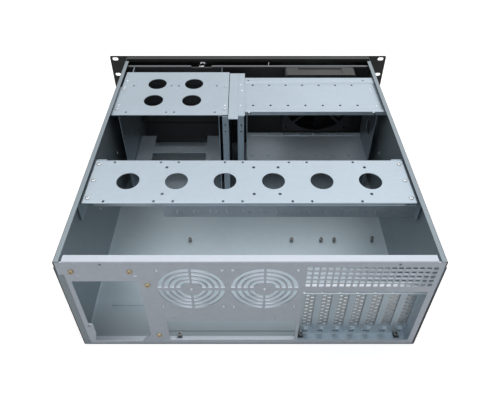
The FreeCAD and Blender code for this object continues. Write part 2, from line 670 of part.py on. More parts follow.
def mid_brace():
    """Plate across the case with a lip down each long edge."""
    front = BRACE_REAR - BRACE_WIDTH
    path = [(front, TOP_LEVEL - BRACE_LIP), (front, TOP_LEVEL), (BRACE_REAR, TOP_LEVEL), (BRACE_REAR, TOP_LEVEL - BRACE_LIP)]
    brace = folded_along_x(path[::-1], SHEET, -BRACE_HALF, BRACE_HALF)
    z0, z1 = TOP_LEVEL - SHEET - 1, TOP_LEVEL + 1
    middle = BRACE_REAR - BRACE_WIDTH / 2
    cuts = []
    for i in range(BRACE_HOLES):
        x = (i - (BRACE_HOLES - 1) / 2) * BRACE_HOLE_PITCH
        cuts.append(drill_z(x, middle + 1.0, BRACE_HOLE_RADIUS, z0, z1))
    for group in range(4):
        start = 178.0 - group * 84.8
        for x in (start, start - 61.2):
            for y in (front + 4.8, BRACE_REAR - 2.8):
                cuts.append(drill_z(x, y, BRACE_SMALL_RADIUS, z0, z1))
    for x in (107.8, -6.0, -38.0, -151.3):
        for y in (middle - 24.2, middle + 23.8):
            cuts.append(drill_z(x, y, BRACE_SMALL_RADIUS + 0.3, z0, z1))
    for x, y in brace_screw_points():
        cuts.append(drill_z(x, y, BRACE_SCREW_SHANK + FIT / 2, z0, z1))
    for side in (-1, 1):
        cuts.append(block(side * SHELF_INNER_X - side * FIT, side * (BRACE_HALF + 1), front - 1, front + SHEET + BEND,
                          TOP_LEVEL - BRACE_LIP - 1, TOP_LEVEL - SHEET))
        cuts.append(block(side * SHELF_INNER_X - side * FIT, side * (BRACE_HALF + 1), BRACE_REAR - SHEET - BEND,
                          BRACE_REAR + 1, TOP_LEVEL - BRACE_LIP - 1, TOP_LEVEL - SHEET))
    return cut_all(brace, cuts)


BRACE_SCREW_SHANK = 1.5
BRACE_SCREW_HEAD = 3.0


def brace_shelf(side):
    """Angle on the side wall that carries one end of the brace."""
    top = TOP_LEVEL - SHEET
    x_wall = side * STEP_INNER
    path = [(x_wall, top - SHELF_LEG), (x_wall, top), (side * SHELF_INNER_X, top)]
    if side < 0:
        path = path[::-1]
    front = BRACE_REAR - BRACE_WIDTH
    shelf = folded_along_y(path, SHEET, front - 2.0, BRACE_REAR - FIT)
    cuts = [drill_z(x, y, BRACE_SCREW_SHANK, top - SHEET - 1, top + 1) for x, y in brace_screw_points() if x * side > 0]
    return cut_all(shelf, cuts)


def card_comb():
    """Slotted strip on the rear lip of the brace that steadies the expansion cards."""
    y0 = BRACE_REAR
    bottom = COMB_TOP - COMB_HEIGHT
    path = [(y0 + THIN_SHEET, COMB_TOP), (y0 + THIN_SHEET, bottom), (y0 - 5.0, bottom)]
    strip = folded_along_x(path[::-1], THIN_SHEET, COMB_RIGHT, COMB_LEFT, 0.6)
    cuts = []
    middle = COMB_TOP - COMB_HEIGHT * 0.52
    for i in range(COMB_SLITS):
        x = COMB_SLIT_FIRST_X - i * SLOT_PITCH
        cuts.append(block(x - COMB_SLIT_WIDTH / 2, x + COMB_SLIT_WIDTH / 2, y0 - 1, y0 + THIN_SHEET + 1,
                          middle - COMB_SLIT_HEIGHT / 2, middle + COMB_SLIT_HEIGHT / 2))
        if i < COMB_SLITS - 1:
            cuts.append(drill_y(x - SLOT_PITCH / 2 + 2.6, middle, COMB_HOLE_RADIUS, y0 - 1, y0 + THIN_SHEET + 1))
    return cut_all(strip, cuts)


# ================================================================ bay cage
BAY_LEFT = BAY_CENTRE_X + BAY_WIDTH / 2
BAY_RIGHT = BAY_CENTRE_X - BAY_WIDTH / 2
BAY_TOP_Z = BULKHEAD_TOP - SHEET
BAY_SHELF_Z = BAY_TOP_Z - BAY_COUNT * BAY_HEIGHT
BULKHEAD_REAR = BULKHEAD_FRONT + SHEET


def bay_cage_top():
    """Plate over the large bays, from the wire channel to the side wall."""
    inner = CHANNEL_LEFT + 0.9
    flange_x = STEP_INNER
    path = [(inner, TOP_LEVEL), (flange_x, TOP_LEVEL), (flange_x, TOP_LEVEL - 5.5)]
    plate = folded_along_y(path[::-1], THIN_SHEET, CAGE_FRONT, CAGE_REAR)
    z0, z1 = TOP_LEVEL - THIN_SHEET - 1, TOP_LEVEL + 1
    cuts = [block(BRACE_HALF - FIT, flange_x + 1, CAGE_FRONT - 1, CAGE_FRONT + CAGE_CORNER_LENGTH,
                  TOP_LEVEL - 8, z1)]
    for x in (147.3, 88.0):
        for y in (CAGE_FRONT + 35.0, CAGE_FRONT + 81.2):
            cuts.append(drill_z(x, y, BIG_HOLE_RADIUS, z0, z1))
    for x in (184.6, 124.0, 112.0, 50.8):
        for y in (CAGE_FRONT + 40.6, CAGE_REAR - 7.3):
            cuts.append(drill_z(x, y, 1.5, z0, z1))
    for x, y in cage_screw_points():
        cuts.append(drill_z(x, y, BRACE_SCREW_SHANK + FIT / 2, z0, z1))
    return cut_all(plate, cuts)


def cage_screw_points():
    """Screws that hold the cage top down on the flanges of the walls below it."""
    return [(36.2, CAGE_FRONT + 41.3), (36.2, CAGE_REAR - 16.1),
            (199.6, CAGE_FRONT + 50.1), (199.6, CAGE_REAR - 15.7)]


def bay_wall(side):
    """Upright wall of the large bays, with its foot on the floor and a flange under the top plate."""
    inner = BAY_LEFT if side > 0 else BAY_RIGHT
    away = side
    top = TOP_LEVEL - THIN_SHEET
    reach = 9.0 if side > 0 else 5.0
    path = [(inner + away * reach, top), (inner, top), (inner, SHEET), (inner + away * reach, SHEET)]
    if side < 0:
        path = path[::-1]
    wall = folded_along_y(path, THIN_SHEET, BULKHEAD_REAR, CAGE_REAR, 0.6)
    cuts = []
    x0, x1 = inner - 2, inner + away * 3
    for i in range(BAY_COUNT):
        z = BAY_SHELF_Z + (i + 0.3) * BAY_HEIGHT
        for y in (CAGE_FRONT + 23.4, CAGE_REAR - 45.5):
            cuts.append(prism_slot_x(y, z, 9.0, 4.0, x0, x1))
    cuts.append(block(inner + away * (THIN_SHEET + 0.1), inner + away * (reach + 1), BULKHEAD_REAR - 1, CAGE_FRONT,
                      top - 3, top + 1))
    cuts += [drill_z(x, y, BRACE_SCREW_SHANK, top - 3, top + 1) for x, y in cage_screw_points()]
    return cut_all(wall, cuts)


def prism_slot_x(y, z, length, height, x0, x1):
    """Slot through a wall that faces X, long side level."""
    radius = height / 2 - 0.01
    points = rect(y - length / 2, y + length / 2, z - height / 2, z + height / 2)
    return prism(points, [radius] * 4, lambda u, v: vec(x0, u, v), vec(x1 - x0, 0, 0))


def bay_shelf():
    """Rails under the lowest bay, joined by a cross bar."""
    z0, z1 = BAY_SHELF_Z - THIN_SHEET, BAY_SHELF_Z
    left, right = BAY_LEFT - FIT / 3, BAY_RIGHT + FIT / 3
    pieces = []
    for wall_x, direction in ((left, -1), (right, 1)):
        edge = wall_x + direction * SHELF_WIDTH
        path = [(wall_x, z0 - 9.0), (wall_x, z1), (edge, z1)]
        if direction > 0:
            path = path[::-1]
        pieces.append(folded_along_y(path if direction < 0 else path, THIN_SHEET, SHELF_FRONT, SHELF_REAR, 0.6))
    bar = block(right + SHELF_WIDTH - 0.5, left - SHELF_WIDTH + 0.5, SHELF_BAR_FRONT, SHELF_BAR_FRONT + SHELF_BAR_WIDTH, z0, z1)
    return fuse_all(pieces + [bar])


# ================================================================ wire channel
def channel_wall(side):
    """Wall of the wire channel with a drilled post at its rear edge."""
    face = CHANNEL_LEFT if side > 0 else CHANNEL_RIGHT
    top = TOP_LEVEL - THIN_SHEET
    tip = face + side * (POST_WIDTH - THIN_SHEET)
    inner = face - side * THIN_SHEET
    path = [(inner, CHANNEL_FRONT), (inner, POST_REAR), (tip, POST_REAR)]
    if side > 0:
        path = path[::-1]
    wall = folded_along_z(path, THIN_SHEET, SHEET, top, 0.5)
    foot = block(inner, face + side * 8.0, CHANNEL_FRONT, POST_REAR - 3.0, SHEET, SHEET + THIN_SHEET)
    middle = (inner + tip) / 2 + side * 0.8
    cuts = [drill_y(middle, z, 1.5, POST_REAR - 3, POST_REAR + 1) for z in (154.4, 142.0)]
    return cut_all(fuse_all([wall, foot]), cuts)


def channel_strip():
    """Cover strip over the wire channel, its edges turned down outside the two walls."""
    gap = 0.9
    return folded_along_y([(CHANNEL_RIGHT + gap - 1.1, TOP_LEVEL), (CHANNEL_LEFT - 0.2, TOP_LEVEL)][::-1], THIN_SHEET,
                          CHANNEL_FRONT, STRIP_REAR)


# ================================================================ drive cage
def tray_hole_points():
    return [(TRAY_SLOT_FIRST_X - i * TRAY_SLOT_PITCH, y) for i in range(TRAY_SLOTS) for y in (TRAY_HOLE_FRONT, TRAY_HOLE_REAR)]


def upper_tray():
    """Plate that holds the upper sides of the 3.5 inch drives."""
    rail = TRAY_FRONT + 13.0
    step = 2.0
    z = TOP_LEVEL
    path = [(TRAY_FRONT, z), (rail - 1.0, z), (rail + 1.0, z - step), (TRAY_REAR - 6.5, z - step), (TRAY_REAR - 5.0, z - 0.6),
            (TRAY_REAR, z - 0.6), (TRAY_REAR, z - 0.6 - TRAY_LIP)]
    tray = folded_along_x(path[::-1], THIN_SHEET, TRAY_RIGHT, TRAY_LEFT, 0.4)
    arm_z = z - step
    arm = block(TRAY_LEFT - 2.0, CHANNEL_RIGHT - 0.3, rail + 2.0, TRAY_REAR - 8.0, arm_z - THIN_SHEET, arm_z)
    z0, z1 = z - step - THIN_SHEET - 1, z + 1
    cuts = [drill_z(x, y, TRAY_HOLE_RADIUS, z0, z1) for x, y in tray_hole_points()]
    for i in (0, TRAY_SLOTS - 1):
        cuts.append(drill_z(TRAY_SLOT_FIRST_X - i * TRAY_SLOT_PITCH + (7.0 if i == 0 else -20.0), TRAY_FRONT + 8.3, 1.5, z0, z1))
    return cut_all(fuse_all([tray, arm]), cuts)


def channel_top():
    """Angle along the wire channel that carries the near end of the upper tray."""
    return block(TRAY_LEFT + 0.3, CHANNEL_RIGHT - 0.3, CHANNEL_FRONT, POST_REAR - 1.0, TOP_LEVEL - THIN_SHEET, TOP_LEVEL)


LOWER_TRAY_TOP = TOP_LEVEL - 2.0 - THIN_SHEET - TRAY_GAP


def lower_tray():
    """Plate that holds the lower sides of the drives, lipped at the front and the ends."""
    z = LOWER_TRAY_TOP
    path = [(LOWER_TRAY_FRONT, z - 8.0), (LOWER_TRAY_FRONT, z), (LOWER_TRAY_FRONT + 7.0, z), (LOWER_TRAY_FRONT + 8.5, z - 1.0),
            (LOWER_TRAY_REAR, z - 1.0)]
    x_left = DRIVE_CAGE_LEFT - THIN_SHEET - FIT / 3
    x_right = DRIVE_CAGE_RIGHT + THIN_SHEET + FIT / 3
    tray = folded_along_x(path, -THIN_SHEET, x_right, x_left, 0.4)
    ends = [block(x_left - THIN_SHEET, x_left, LOWER_TRAY_FRONT + 10, LOWER_TRAY_REAR, z - 9.0, z - 1.0),
            block(x_right, x_right + THIN_SHEET, LOWER_TRAY_FRONT + 10, LOWER_TRAY_REAR, z - 9.0, z - 1.0)]
    cuts = [drill_z(x, y, TRAY_HOLE_RADIUS, z - 4, z + 1) for x, y in tray_hole_points()]
    return cut_all(fuse_all([tray] + ends), cuts)


def drive_wall(side):
    """Upright wall at one end of the drive trays, standing on the floor."""
    outer = DRIVE_CAGE_LEFT if side > 0 else DRIVE_CAGE_RIGHT
    top = TOP_LEVEL - 2.0 - THIN_SHEET
    foot = outer - side * 9.0
    path = [(foot, top), (outer, top), (outer, SHEET), (foot, SHEET)]
    if side > 0:
        path = path[::-1]
    wall = folded_along_y(path, THIN_SHEET, TRAY_FRONT + 16.0, LOWER_TRAY_REAR, 0.6)
    cuts = [drill_x(OVAL_CENTRE_Y, OVAL_CENTRE_Z, OVAL_RADIUS, outer - 3, outer + 3)]
    for y in (TRAY_HOLE_FRONT, TRAY_HOLE_REAR):
        x = TRAY_SLOT_FIRST_X if side > 0 else TRAY_SLOT_FIRST_X - (TRAY_SLOTS - 1) * TRAY_SLOT_PITCH
        cuts.append(drill_z(x, y, TRAY_HOLE_RADIUS + 1.0, top - 3, top + 1))
    return cut_all(wall, cuts)


# ================================================================ front
def bulkhead():
    """Painted inner front wall: bay opening, fan opening, control strip."""
    half = WALL_INNER - FIT
    path = [(BULKHEAD_REAR - BULKHEAD_LIP, BULKHEAD_TOP), (BULKHEAD_REAR, BULKHEAD_TOP), (BULKHEAD_REAR, SHEET),
            (BULKHEAD_REAR - BULKHEAD_FOOT, SHEET)]
    wall = folded_along_x(path[::-1], SHEET, -half, half)
    y0, y1 = BULKHEAD_FRONT - 1, BULKHEAD_REAR + 1
    cuts = [plate_xz(rect(BAY_RIGHT, BAY_LEFT, BAY_SHELF_Z, BAY_TOP_Z - BEND), 1.0, y0, y1)]
    cuts.append(block(LOCK_X - LOCK_NOTCH_HALF, LOCK_X + LOCK_NOTCH_HALF, BULKHEAD_REAR - BULKHEAD_LIP - 1, y1,
                      BAY_TOP_Z - BEND - 1, BULKHEAD_TOP + 1))
    cuts.append(drill_y(INTAKE_CENTRE_X, INTAKE_CENTRE_Z, FRONT_FAN_BORE, y0, y1))
    reach = FRONT_FAN_SCREWS / 2
    cuts += [drill_y(INTAKE_CENTRE_X + i * reach, INTAKE_CENTRE_Z + j * reach, 2.2, y0, y1) for i in (-1, 1) for j in (-1, 1)]
    cuts.append(drill_y(CONTROL_X, POWER_BUTTON_Z, POWER_BUTTON_RADIUS + BUTTON_GAP, y0, y1))
    cuts.append(drill_y(CONTROL_X, RESET_BUTTON_Z, RESET_BUTTON_RADIUS + BUTTON_GAP, y0, y1))
    for z in LED_HEIGHTS:
        cuts.append(drill_y(CONTROL_X, z, LED_RADIUS + BUTTON_GAP, y0, y1))
    for z in USB_HEIGHTS:
        cuts.append(block(CONTROL_X - USB_WIDTH / 2 - BUTTON_GAP, CONTROL_X + USB_WIDTH / 2 + BUTTON_GAP, y0, y1,
                          z - USB_HEIGHT / 2 - BUTTON_GAP, z + USB_HEIGHT / 2 + BUTTON_GAP))
    front = BULKHEAD_REAR - BULKHEAD_FOOT - 1
    for side in (-1, 1):
        cuts.append(block(side * (STEP_INNER - FIT), side * (half + 1), front, y1, STEP_Z - LID_SHEET - 2, BULKHEAD_TOP + 1))
        cuts.append(block(side * (WALL_INNER - BEND - FIT), side * (half + 1), front, y1, 0, SHEET + BEND + FIT))
    return cut_all(wall, cuts)


LED_HEIGHTS = (107.0, 97.0)
LED_RADIUS = 1.5
USB_HEIGHTS = (79.0, 64.0)
USB_WIDTH = 13.2
USB_HEIGHT = 6.0


def bay_blank(index):
    """Plain bezel that closes one large bay."""
    z0 = BAY_SHELF_Z + index * BAY_HEIGHT + FIT
    z1 = z0 + BAY_HEIGHT - 2 * FIT - (BEND if index == BAY_COUNT - 1 else 0)
    x0, x1 = BAY_RIGHT + FIT, BAY_LEFT - FIT
    y_face = BULKHEAD_FRONT - 2.5
    face = plate_xz(rect(x0, x1, z0, z1), 1.2, y_face, BULKHEAD_FRONT + 2.0)
    hollow = block(x0 + 2.2, x1 - 2.2, y_face + 2.2, BULKHEAD_FRONT + 3.0, z0 + 2.2, z1 - 2.2)
    shell = face.cut(hollow)
    middle = (z0 + z1) / 2
    hooks = [block(x0, x0 + 1.6, BULKHEAD_FRONT, BULKHEAD_FRONT + 11.0, middle - 5, middle + 5),
             block(x1 - 1.6, x1, BULKHEAD_FRONT, BULKHEAD_FRONT + 11.0, middle - 5, middle + 5)]
    grooves = [block(x0 - 1, x1 + 1, y_face - 1, y_face + 0.6, middle + d - 0.5, middle + d + 0.5) for d in (-6.0, 6.0)]
    return cut_all(fuse_all([shell] + hooks), grooves)


def door_opening():
    return DOOR_RIGHT - DOOR_GAP, DOOR_LEFT + DOOR_GAP, DOOR_BOTTOM - DOOR_BOTTOM_GAP, DOOR_TOP + DOOR_GAP


def hinge_axis():
    return FRONT + HINGE_INSET_Y, DOOR_BOTTOM + HINGE_INSET_Z


def front_panel():
    """Painted outer front with both ears, a top return and the door opening."""
    half_rack = RACK_WIDTH / 2
    face = plate_xz(rect(-half_rack, half_rack, 0, PANEL_HEIGHT), 1.5, FRONT, BODY_FRONT)
    half = STEP_INNER - FIT
    path = [(BODY_FRONT - 0.4, PANEL_HEIGHT), (FRONT + PANEL_RETURN, PANEL_HEIGHT), (FRONT + PANEL_RETURN, PANEL_HEIGHT - PANEL_LIP)]
    hood = folded_along_x(path, -1.5, -half, half, 0.6)
    x0, x1, z0, z1 = door_opening()
    cuts = [plate_xz(rect(x0, x1, z0, z1), 1.0, FRONT - 1, BODY_FRONT + 1)]
    hinge_y, hinge_z = hinge_axis()
    lugs = []
    for edge, direction in ((x1, 1), (x0, -1)):
        lugs.append(block(edge, edge + direction * 2.0, FRONT + 0.5, FRONT + 9.0, hinge_z - 4.4, hinge_z + 5.0))
        cuts.append(drill_x(hinge_y, hinge_z, HINGE_PIN_RADIUS + HINGE_RUNNING_GAP, edge - direction, edge + direction * 3.0))
    for offset in EAR_SLOT_OFFSETS:
        for side in (-1, 1):
            x, z = side * EAR_SLOT_X, PANEL_HEIGHT / 2 + offset
            points = rect(x - EAR_SLOT_LENGTH / 2, x + EAR_SLOT_LENGTH / 2, z - EAR_SLOT_HEIGHT / 2, z + EAR_SLOT_HEIGHT / 2)
            cuts.append(plate_xz(points, EAR_SLOT_HEIGHT / 2 - 0.02, FRONT - 1, BODY_FRONT + 1))
    for column in range(INTAKE_COLUMNS):
        for row in range(INTAKE_ROWS):
            x = INTAKE_CENTRE_X + (column - (INTAKE_COLUMNS - 1) / 2) * INTAKE_PITCH_X
            z = INTAKE_CENTRE_Z + (row - (INTAKE_ROWS - 1) / 2) * INTAKE_PITCH_Z
            points = rect(x - INTAKE_SLOT_WIDTH / 2, x + INTAKE_SLOT_WIDTH / 2, z - INTAKE_SLOT_HEIGHT / 2, z + INTAKE_SLOT_HEIGHT / 2)
            cuts.append(plate_xz(points, 0, FRONT - 1, BODY_FRONT + 1))
    for side in (-1, 1):
        for end in (-1, 1):
            cuts.append(drill_y(side * HANDLE_X, PANEL_HEIGHT / 2 + end * HANDLE_HALF, HANDLE_SCREW_SHANK + FIT / 2,
                                FRONT - 1, BODY_FRONT + 1))
    return cut_all(fuse_all([face, hood] + lugs), cuts)


HANDLE_SCREW_SHANK = 1.9
FILTER_THICKNESS = 5.0


def filter_frame():
    """Channel frame on the back of the panel that holds the dust filter."""
    half = FRONT_FAN_SIZE / 2
    outer = half + 3.0
    y0, y1 = BODY_FRONT, BODY_FRONT + FILTER_THICKNESS + 2.0
    frame = plate_xz(rect(INTAKE_CENTRE_X - outer, INTAKE_CENTRE_X + outer, INTAKE_CENTRE_Z - outer, INTAKE_CENTRE_Z + outer - 3.6), 2.0, y0, y1)
    pocket = block(INTAKE_CENTRE_X - half, INTAKE_CENTRE_X + half, y0 - 1, y0 + FILTER_THICKNESS + 0.6,
                   INTAKE_CENTRE_Z - half, INTAKE_CENTRE_Z + half - 3.0)
    window = block(INTAKE_CENTRE_X - half + 5, INTAKE_CENTRE_X + half - 5, y0, y1 + 1, INTAKE_CENTRE_Z - half + 5,
                   INTAKE_CENTRE_Z + half - 8)
    return frame.cut(pocket).cut(window)


def dust_filter():
    """Foam pad in the filter frame."""
    half = FRONT_FAN_SIZE / 2 - 0.3
    y0 = BODY_FRONT + 0.3
    return block(INTAKE_CENTRE_X - half, INTAKE_CENTRE_X + half, y0, y0 + FILTER_THICKNESS, INTAKE_CENTRE_Z - half,
                 INTAKE_CENTRE_Z + half - 3.0)


def door():
    """Shallow pan that closes the front of the bays, hinged along its lower edge."""
    face = plate_xz(rect(DOOR_RIGHT, DOOR_LEFT, DOOR_BOTTOM, DOOR_TOP), 1.0, FRONT, FRONT + DOOR_SHEET)
    y0, y1 = FRONT + DOOR_SHEET / 2, FRONT + DOOR_DEPTH
    rims = [block(DOOR_RIGHT, DOOR_RIGHT + DOOR_SHEET, y0, y1, DOOR_BOTTOM + 1, DOOR_TOP - 1),
            block(DOOR_LEFT - DOOR_SHEET, DOOR_LEFT, y0, y1, DOOR_BOTTOM + 1, DOOR_TOP - 1),
            block(DOOR_RIGHT + 1, DOOR_LEFT - 1, y0, y1, DOOR_BOTTOM, DOOR_BOTTOM + DOOR_SHEET),
            block(DOOR_RIGHT + 1, DOOR_LEFT - 1, y0, y0 + DOOR_TOP_RIM, DOOR_TOP - DOOR_SHEET, DOOR_TOP)]
    hinge_y, hinge_z = hinge_axis()
    bosses = [block(DOOR_RIGHT, DOOR_RIGHT + 6.0, FRONT + 0.5, y1, DOOR_BOTTOM, hinge_z + 3.0),
              block(DOOR_LEFT - 6.0, DOOR_LEFT, FRONT + 0.5, y1, DOOR_BOTTOM, hinge_z + 3.0)]
    cuts = [drill_y(LOCK_X, LOCK_Z, LOCK_RADIUS, FRONT - 1, y1 + 1)]
    cuts += [drill_x(hinge_y, hinge_z, HINGE_PIN_RADIUS, DOOR_RIGHT - 1, DOOR_RIGHT + 5.0),
             drill_x(hinge_y, hinge_z, HINGE_PIN_RADIUS, DOOR_LEFT + 1, DOOR_LEFT - 5.0)]
    return cut_all(fuse_all([face] + rims + bosses), cuts)


def hinge_pins():
    """Two pins fixed in the door that turn in the lugs of the panel."""
    hinge_y, hinge_z = hinge_axis()
    return Part.makeCompound([
        drill_x(hinge_y, hinge_z, HINGE_PIN_RADIUS, DOOR_RIGHT + 5.0, DOOR_RIGHT - DOOR_GAP - 2.0),
        drill_x(hinge_y, hinge_z, HINGE_PIN_RADIUS, DOOR_LEFT - 5.0, DOOR_LEFT + DOOR_GAP + 2.0)])


LOCK_REAR = FRONT + PANEL_RETURN


def lock_barrel():
    """Housing of the lock, clamped in the door by its flange."""
    flange = rod(LOCK_FLANGE, vec(LOCK_X, FRONT - 1.6, LOCK_Z), vec(LOCK_X, FRONT, LOCK_Z))
    tube = rod(LOCK_RADIUS, vec(LOCK_X, FRONT - 0.5, LOCK_Z), vec(LOCK_X, LOCK_REAR, LOCK_Z))
    bore = rod(PLUG_RADIUS + RUNNING_GAP, vec(LOCK_X, FRONT - 3, LOCK_Z), vec(LOCK_X, LOCK_REAR + 1, LOCK_Z))
    return fuse_all([flange, tube]).cut(bore)


def lock_nut():
    """Hexagonal nut behind the door."""
    corners = [(LOCK_X + LOCK_NUT_RADIUS * math.cos(math.radians(60 * i)), LOCK_Z + LOCK_NUT_RADIUS * math.sin(math.radians(60 * i)))
               for i in range(6)]
    y0 = FRONT + DOOR_SHEET
    nut = prism(corners, [0] * 6, lambda u, v: vec(u, y0, v), vec(0, 3.0, 0))
    return nut.cut(drill_y(LOCK_X, LOCK_Z, LOCK_RADIUS, y0 - 1, y0 + 4))


def lock_plug():
    """Turning core with its keyway."""
    plug = rod(PLUG_RADIUS, vec(LOCK_X, FRONT - 1.9, LOCK_Z), vec(LOCK_X, LOCK_REAR + FIT, LOCK_Z))
    keyway = block(LOCK_X - 3.0, LOCK_X + 3.0, FRONT - 3, FRONT + 3.0, LOCK_Z - 0.7, LOCK_Z + 0.7)
    return plug.cut(keyway)


def lock_cam():
    """Arm on the rear end of the plug; it lies level when the door is free."""
    y0 = LOCK_REAR + FIT
    y1 = y0 + 1.4
    length = CAM_LENGTH
    points = [(LOCK_X - CAM_WIDTH / 2, LOCK_Z - CAM_WIDTH / 2), (LOCK_X + length, LOCK_Z - CAM_WIDTH / 2 + 1.5),
              (LOCK_X + length, LOCK_Z + CAM_WIDTH / 2 - 1.5), (LOCK_X - CAM_WIDTH / 2, LOCK_Z + CAM_WIDTH / 2)]
    return plate_xz(points, 2.0, y0, y1)


def handle(side):
    """Flat bar on the ear, bent back to the panel at both ends."""
    far = FRONT - HANDLE_REACH
    low, high = PANEL_HEIGHT / 2 - HANDLE_HALF - HANDLE_DEPTH / 2, PANEL_HEIGHT / 2 + HANDLE_HALF + HANDLE_DEPTH / 2
    x = side * HANDLE_X
    path = [(FRONT, high), (far, high), (far, low), (FRONT, low)]
    bar = folded_along_x(path, HANDLE_DEPTH, x - HANDLE_WIDTH / 2, x + HANDLE_WIDTH / 2, HANDLE_BEND)
    cuts = [drill_y(x, PANEL_HEIGHT / 2 + end * HANDLE_HALF, HANDLE_SCREW_SHANK, FRONT + 1, FRONT - 9.0) for end in (-1, 1)]
    return cut_all(bar, cuts)


def handle_screw_seats():
    return [vec(side * HANDLE_X, BODY_FRONT, PANEL_HEIGHT / 2 + end * HANDLE_HALF) for side in (-1, 1) for end in (-1, 1)]


# ================================================================ front fan
FAN_FRONT = BULKHEAD_REAR
FAN_REAR = BULKHEAD_REAR + FRONT_FAN_DEPTH


def front_fan_frame():
    """Square frame with a round bore, corner ears, four struts and the motor seat."""
    half = FRONT_FAN_SIZE / 2
    x, z = INTAKE_CENTRE_X, INTAKE_CENTRE_Z
    shell = plate_xz(rect(x - half, x + half, z - half, z + half), 5.0, FAN_FRONT, FAN_REAR)
    bore = drill_y(x, z, FRONT_FAN_BORE, FAN_FRONT - 1, FAN_REAR + 1)
    frame = shell.cut(bore)
    waist = 4.0
    notches = []
    for angle in (0, 90, 180, 270):
        cutter = block(x - half * 0.62, x + half * 0.62, FAN_FRONT + waist, FAN_REAR - waist, z + half - 1.1, z + half + 1)
        cutter.rotate(vec(x, 0, z), vec(0, 1, 0), angle)
        notches.append(cutter)
    seat = rod(FAN_HUB_RADIUS, vec(x, FAN_REAR - 3.0, z), vec(x, FAN_REAR, z))
    struts = []
    for angle in (45, 135, 225, 315):
        strut = block(x - 2.2, x + 2.2, FAN_REAR - 3.0, FAN_REAR, z + FAN_HUB_RADIUS - 2, z + FRONT_FAN_BORE + 1.5)
        strut.rotate(vec(x, 0, z), vec(0, 1, 0), angle)
        struts.append(strut)
    spindle = rod(2.0, vec(x, FAN_REAR - 12.0, z), vec(x, FAN_REAR - 2.0, z))
    reach = FRONT_FAN_SCREWS / 2
    holes = [drill_y(x + i * reach, z + j * reach, 2.15, FAN_FRONT - 1, FAN_REAR + 1) for i in (-1, 1) for j in (-1, 1)]
    return cut_all(fuse_all([frame, seat, spindle] + struts), notches + holes)


def fan_blade(angle):
    """One twisted blade, lofted from its root to its tip."""
    sections = []
    for radius, chord, pitch in ((FAN_HUB_RADIUS - 1.5, 21.0, 44.0), (FRONT_FAN_BORE - 2.0, 31.0, 27.0)):
        tilt = math.radians(pitch)
        du, dv = math.cos(tilt) * chord / 2, math.sin(tilt) * chord / 2
        nu, nv = -math.sin(tilt) * 0.8, math.cos(tilt) * 0.8
        middle_y = FAN_FRONT + 11.5
        corners = [vec(radius, middle_y - dv + nv, -du + nu), vec(radius, middle_y + dv + nv, du + nu),
                   vec(radius, middle_y + dv - nv, du - nu), vec(radius, middle_y - dv - nv, -du - nu)]
        sections.append(Part.makePolygon(corners + [corners[0]]))
    blade = Part.makeLoft(sections, True, True)
    blade.rotate(vec(0, 0, 0), vec(0, 1, 0), angle)
    blade.translate(vec(INTAKE_CENTRE_X, 0, INTAKE_CENTRE_Z))
    return blade


def front_fan_rotor():
    """Hub with its seven blades."""
    x, z = INTAKE_CENTRE_X, INTAKE_CENTRE_Z
    hub = turned([(0, 1.0), (FAN_HUB_RADIUS - 1.5, 1.0), (FAN_HUB_RADIUS, 2.5), (FAN_HUB_RADIUS, FRONT_FAN_DEPTH - 4.0),
                  (0, FRONT_FAN_DEPTH - 4.0)], vec(x, FAN_FRONT, z), vec(0, 1, 0))
    blades = [fan_blade(i * 360.0 / FAN_BLADES) for i in range(FAN_BLADES)]
    bore = rod(2.0 + RUNNING_GAP, vec(x, FAN_REAR - 12.0 - FIT, z), vec(x, FAN_REAR, z))
    return fuse_all([hub] + blades).cut(bore)


def front_fan_screw_seats():
    reach = FRONT_FAN_SCREWS / 2
    return [vec(INTAKE_CENTRE_X + i * reach, BULKHEAD_FRONT, INTAKE_CENTRE_Z + j * reach) for i in (-1, 1) for j in (-1, 1)]


# ================================================================ controls
BOARD_GAP = 9.0
BOARD_Y = BULKHEAD_REAR + BOARD_GAP
BOARD_SHEET = 1.6
BOARD_HALF_WIDTH = 13.0
BOARD_LOW = 52.0            # lower edge of the control board
BOARD_HEIGHT = 106.5
BOARD_POST_INSET = 4.0
BOARD_POST_RADIUS = 2.5
POWER_SWITCH_SIZE = 12.0
RESET_SWITCH_SIZE = 8.0


def control_board():
    """Small circuit board behind the control strip, on two posts from the bulkhead."""
    high = BOARD_LOW + BOARD_HEIGHT
    board = block(CONTROL_X - BOARD_HALF_WIDTH, CONTROL_X + BOARD_HALF_WIDTH, BOARD_Y, BOARD_Y + BOARD_SHEET,
                  BOARD_LOW, high)
    posts = [rod(BOARD_POST_RADIUS, vec(CONTROL_X, BULKHEAD_REAR, z), vec(CONTROL_X, BOARD_Y + 0.5, z))
             for z in (BOARD_LOW + BOARD_POST_INSET, high - BOARD_POST_INSET)]
    return fuse_all([board] + posts)


def switch_body(z, size):
    """Push switch soldered to the board, its stem hole open to the front."""
    body = block(CONTROL_X - size / 2, CONTROL_X + size / 2, BOARD_Y - 5.0, BOARD_Y, z - size / 2, z + size / 2)
    return body.cut(drill_y(CONTROL_X, z, 1.6, BOARD_Y - 6.0, BOARD_Y - 1.0))


def push_button(z, radius):
    """Cap in the bulkhead with a collar behind it and a stem into the switch."""
    tip = BULKHEAD_FRONT - BUTTON_PROUD
    collar = BULKHEAD_REAR + 0.1 - tip
    stem_end = BOARD_Y - 3.0 - tip
    return turned([(0, 0), (radius - 0.5, 0), (radius, 0.5), (radius, collar), (radius + 1.2, collar),
                   (radius + 1.2, collar + 1.0), (1.4, collar + 1.0), (1.4, stem_end), (0, stem_end)],
                  vec(CONTROL_X, tip, z), vec(0, 1, 0))


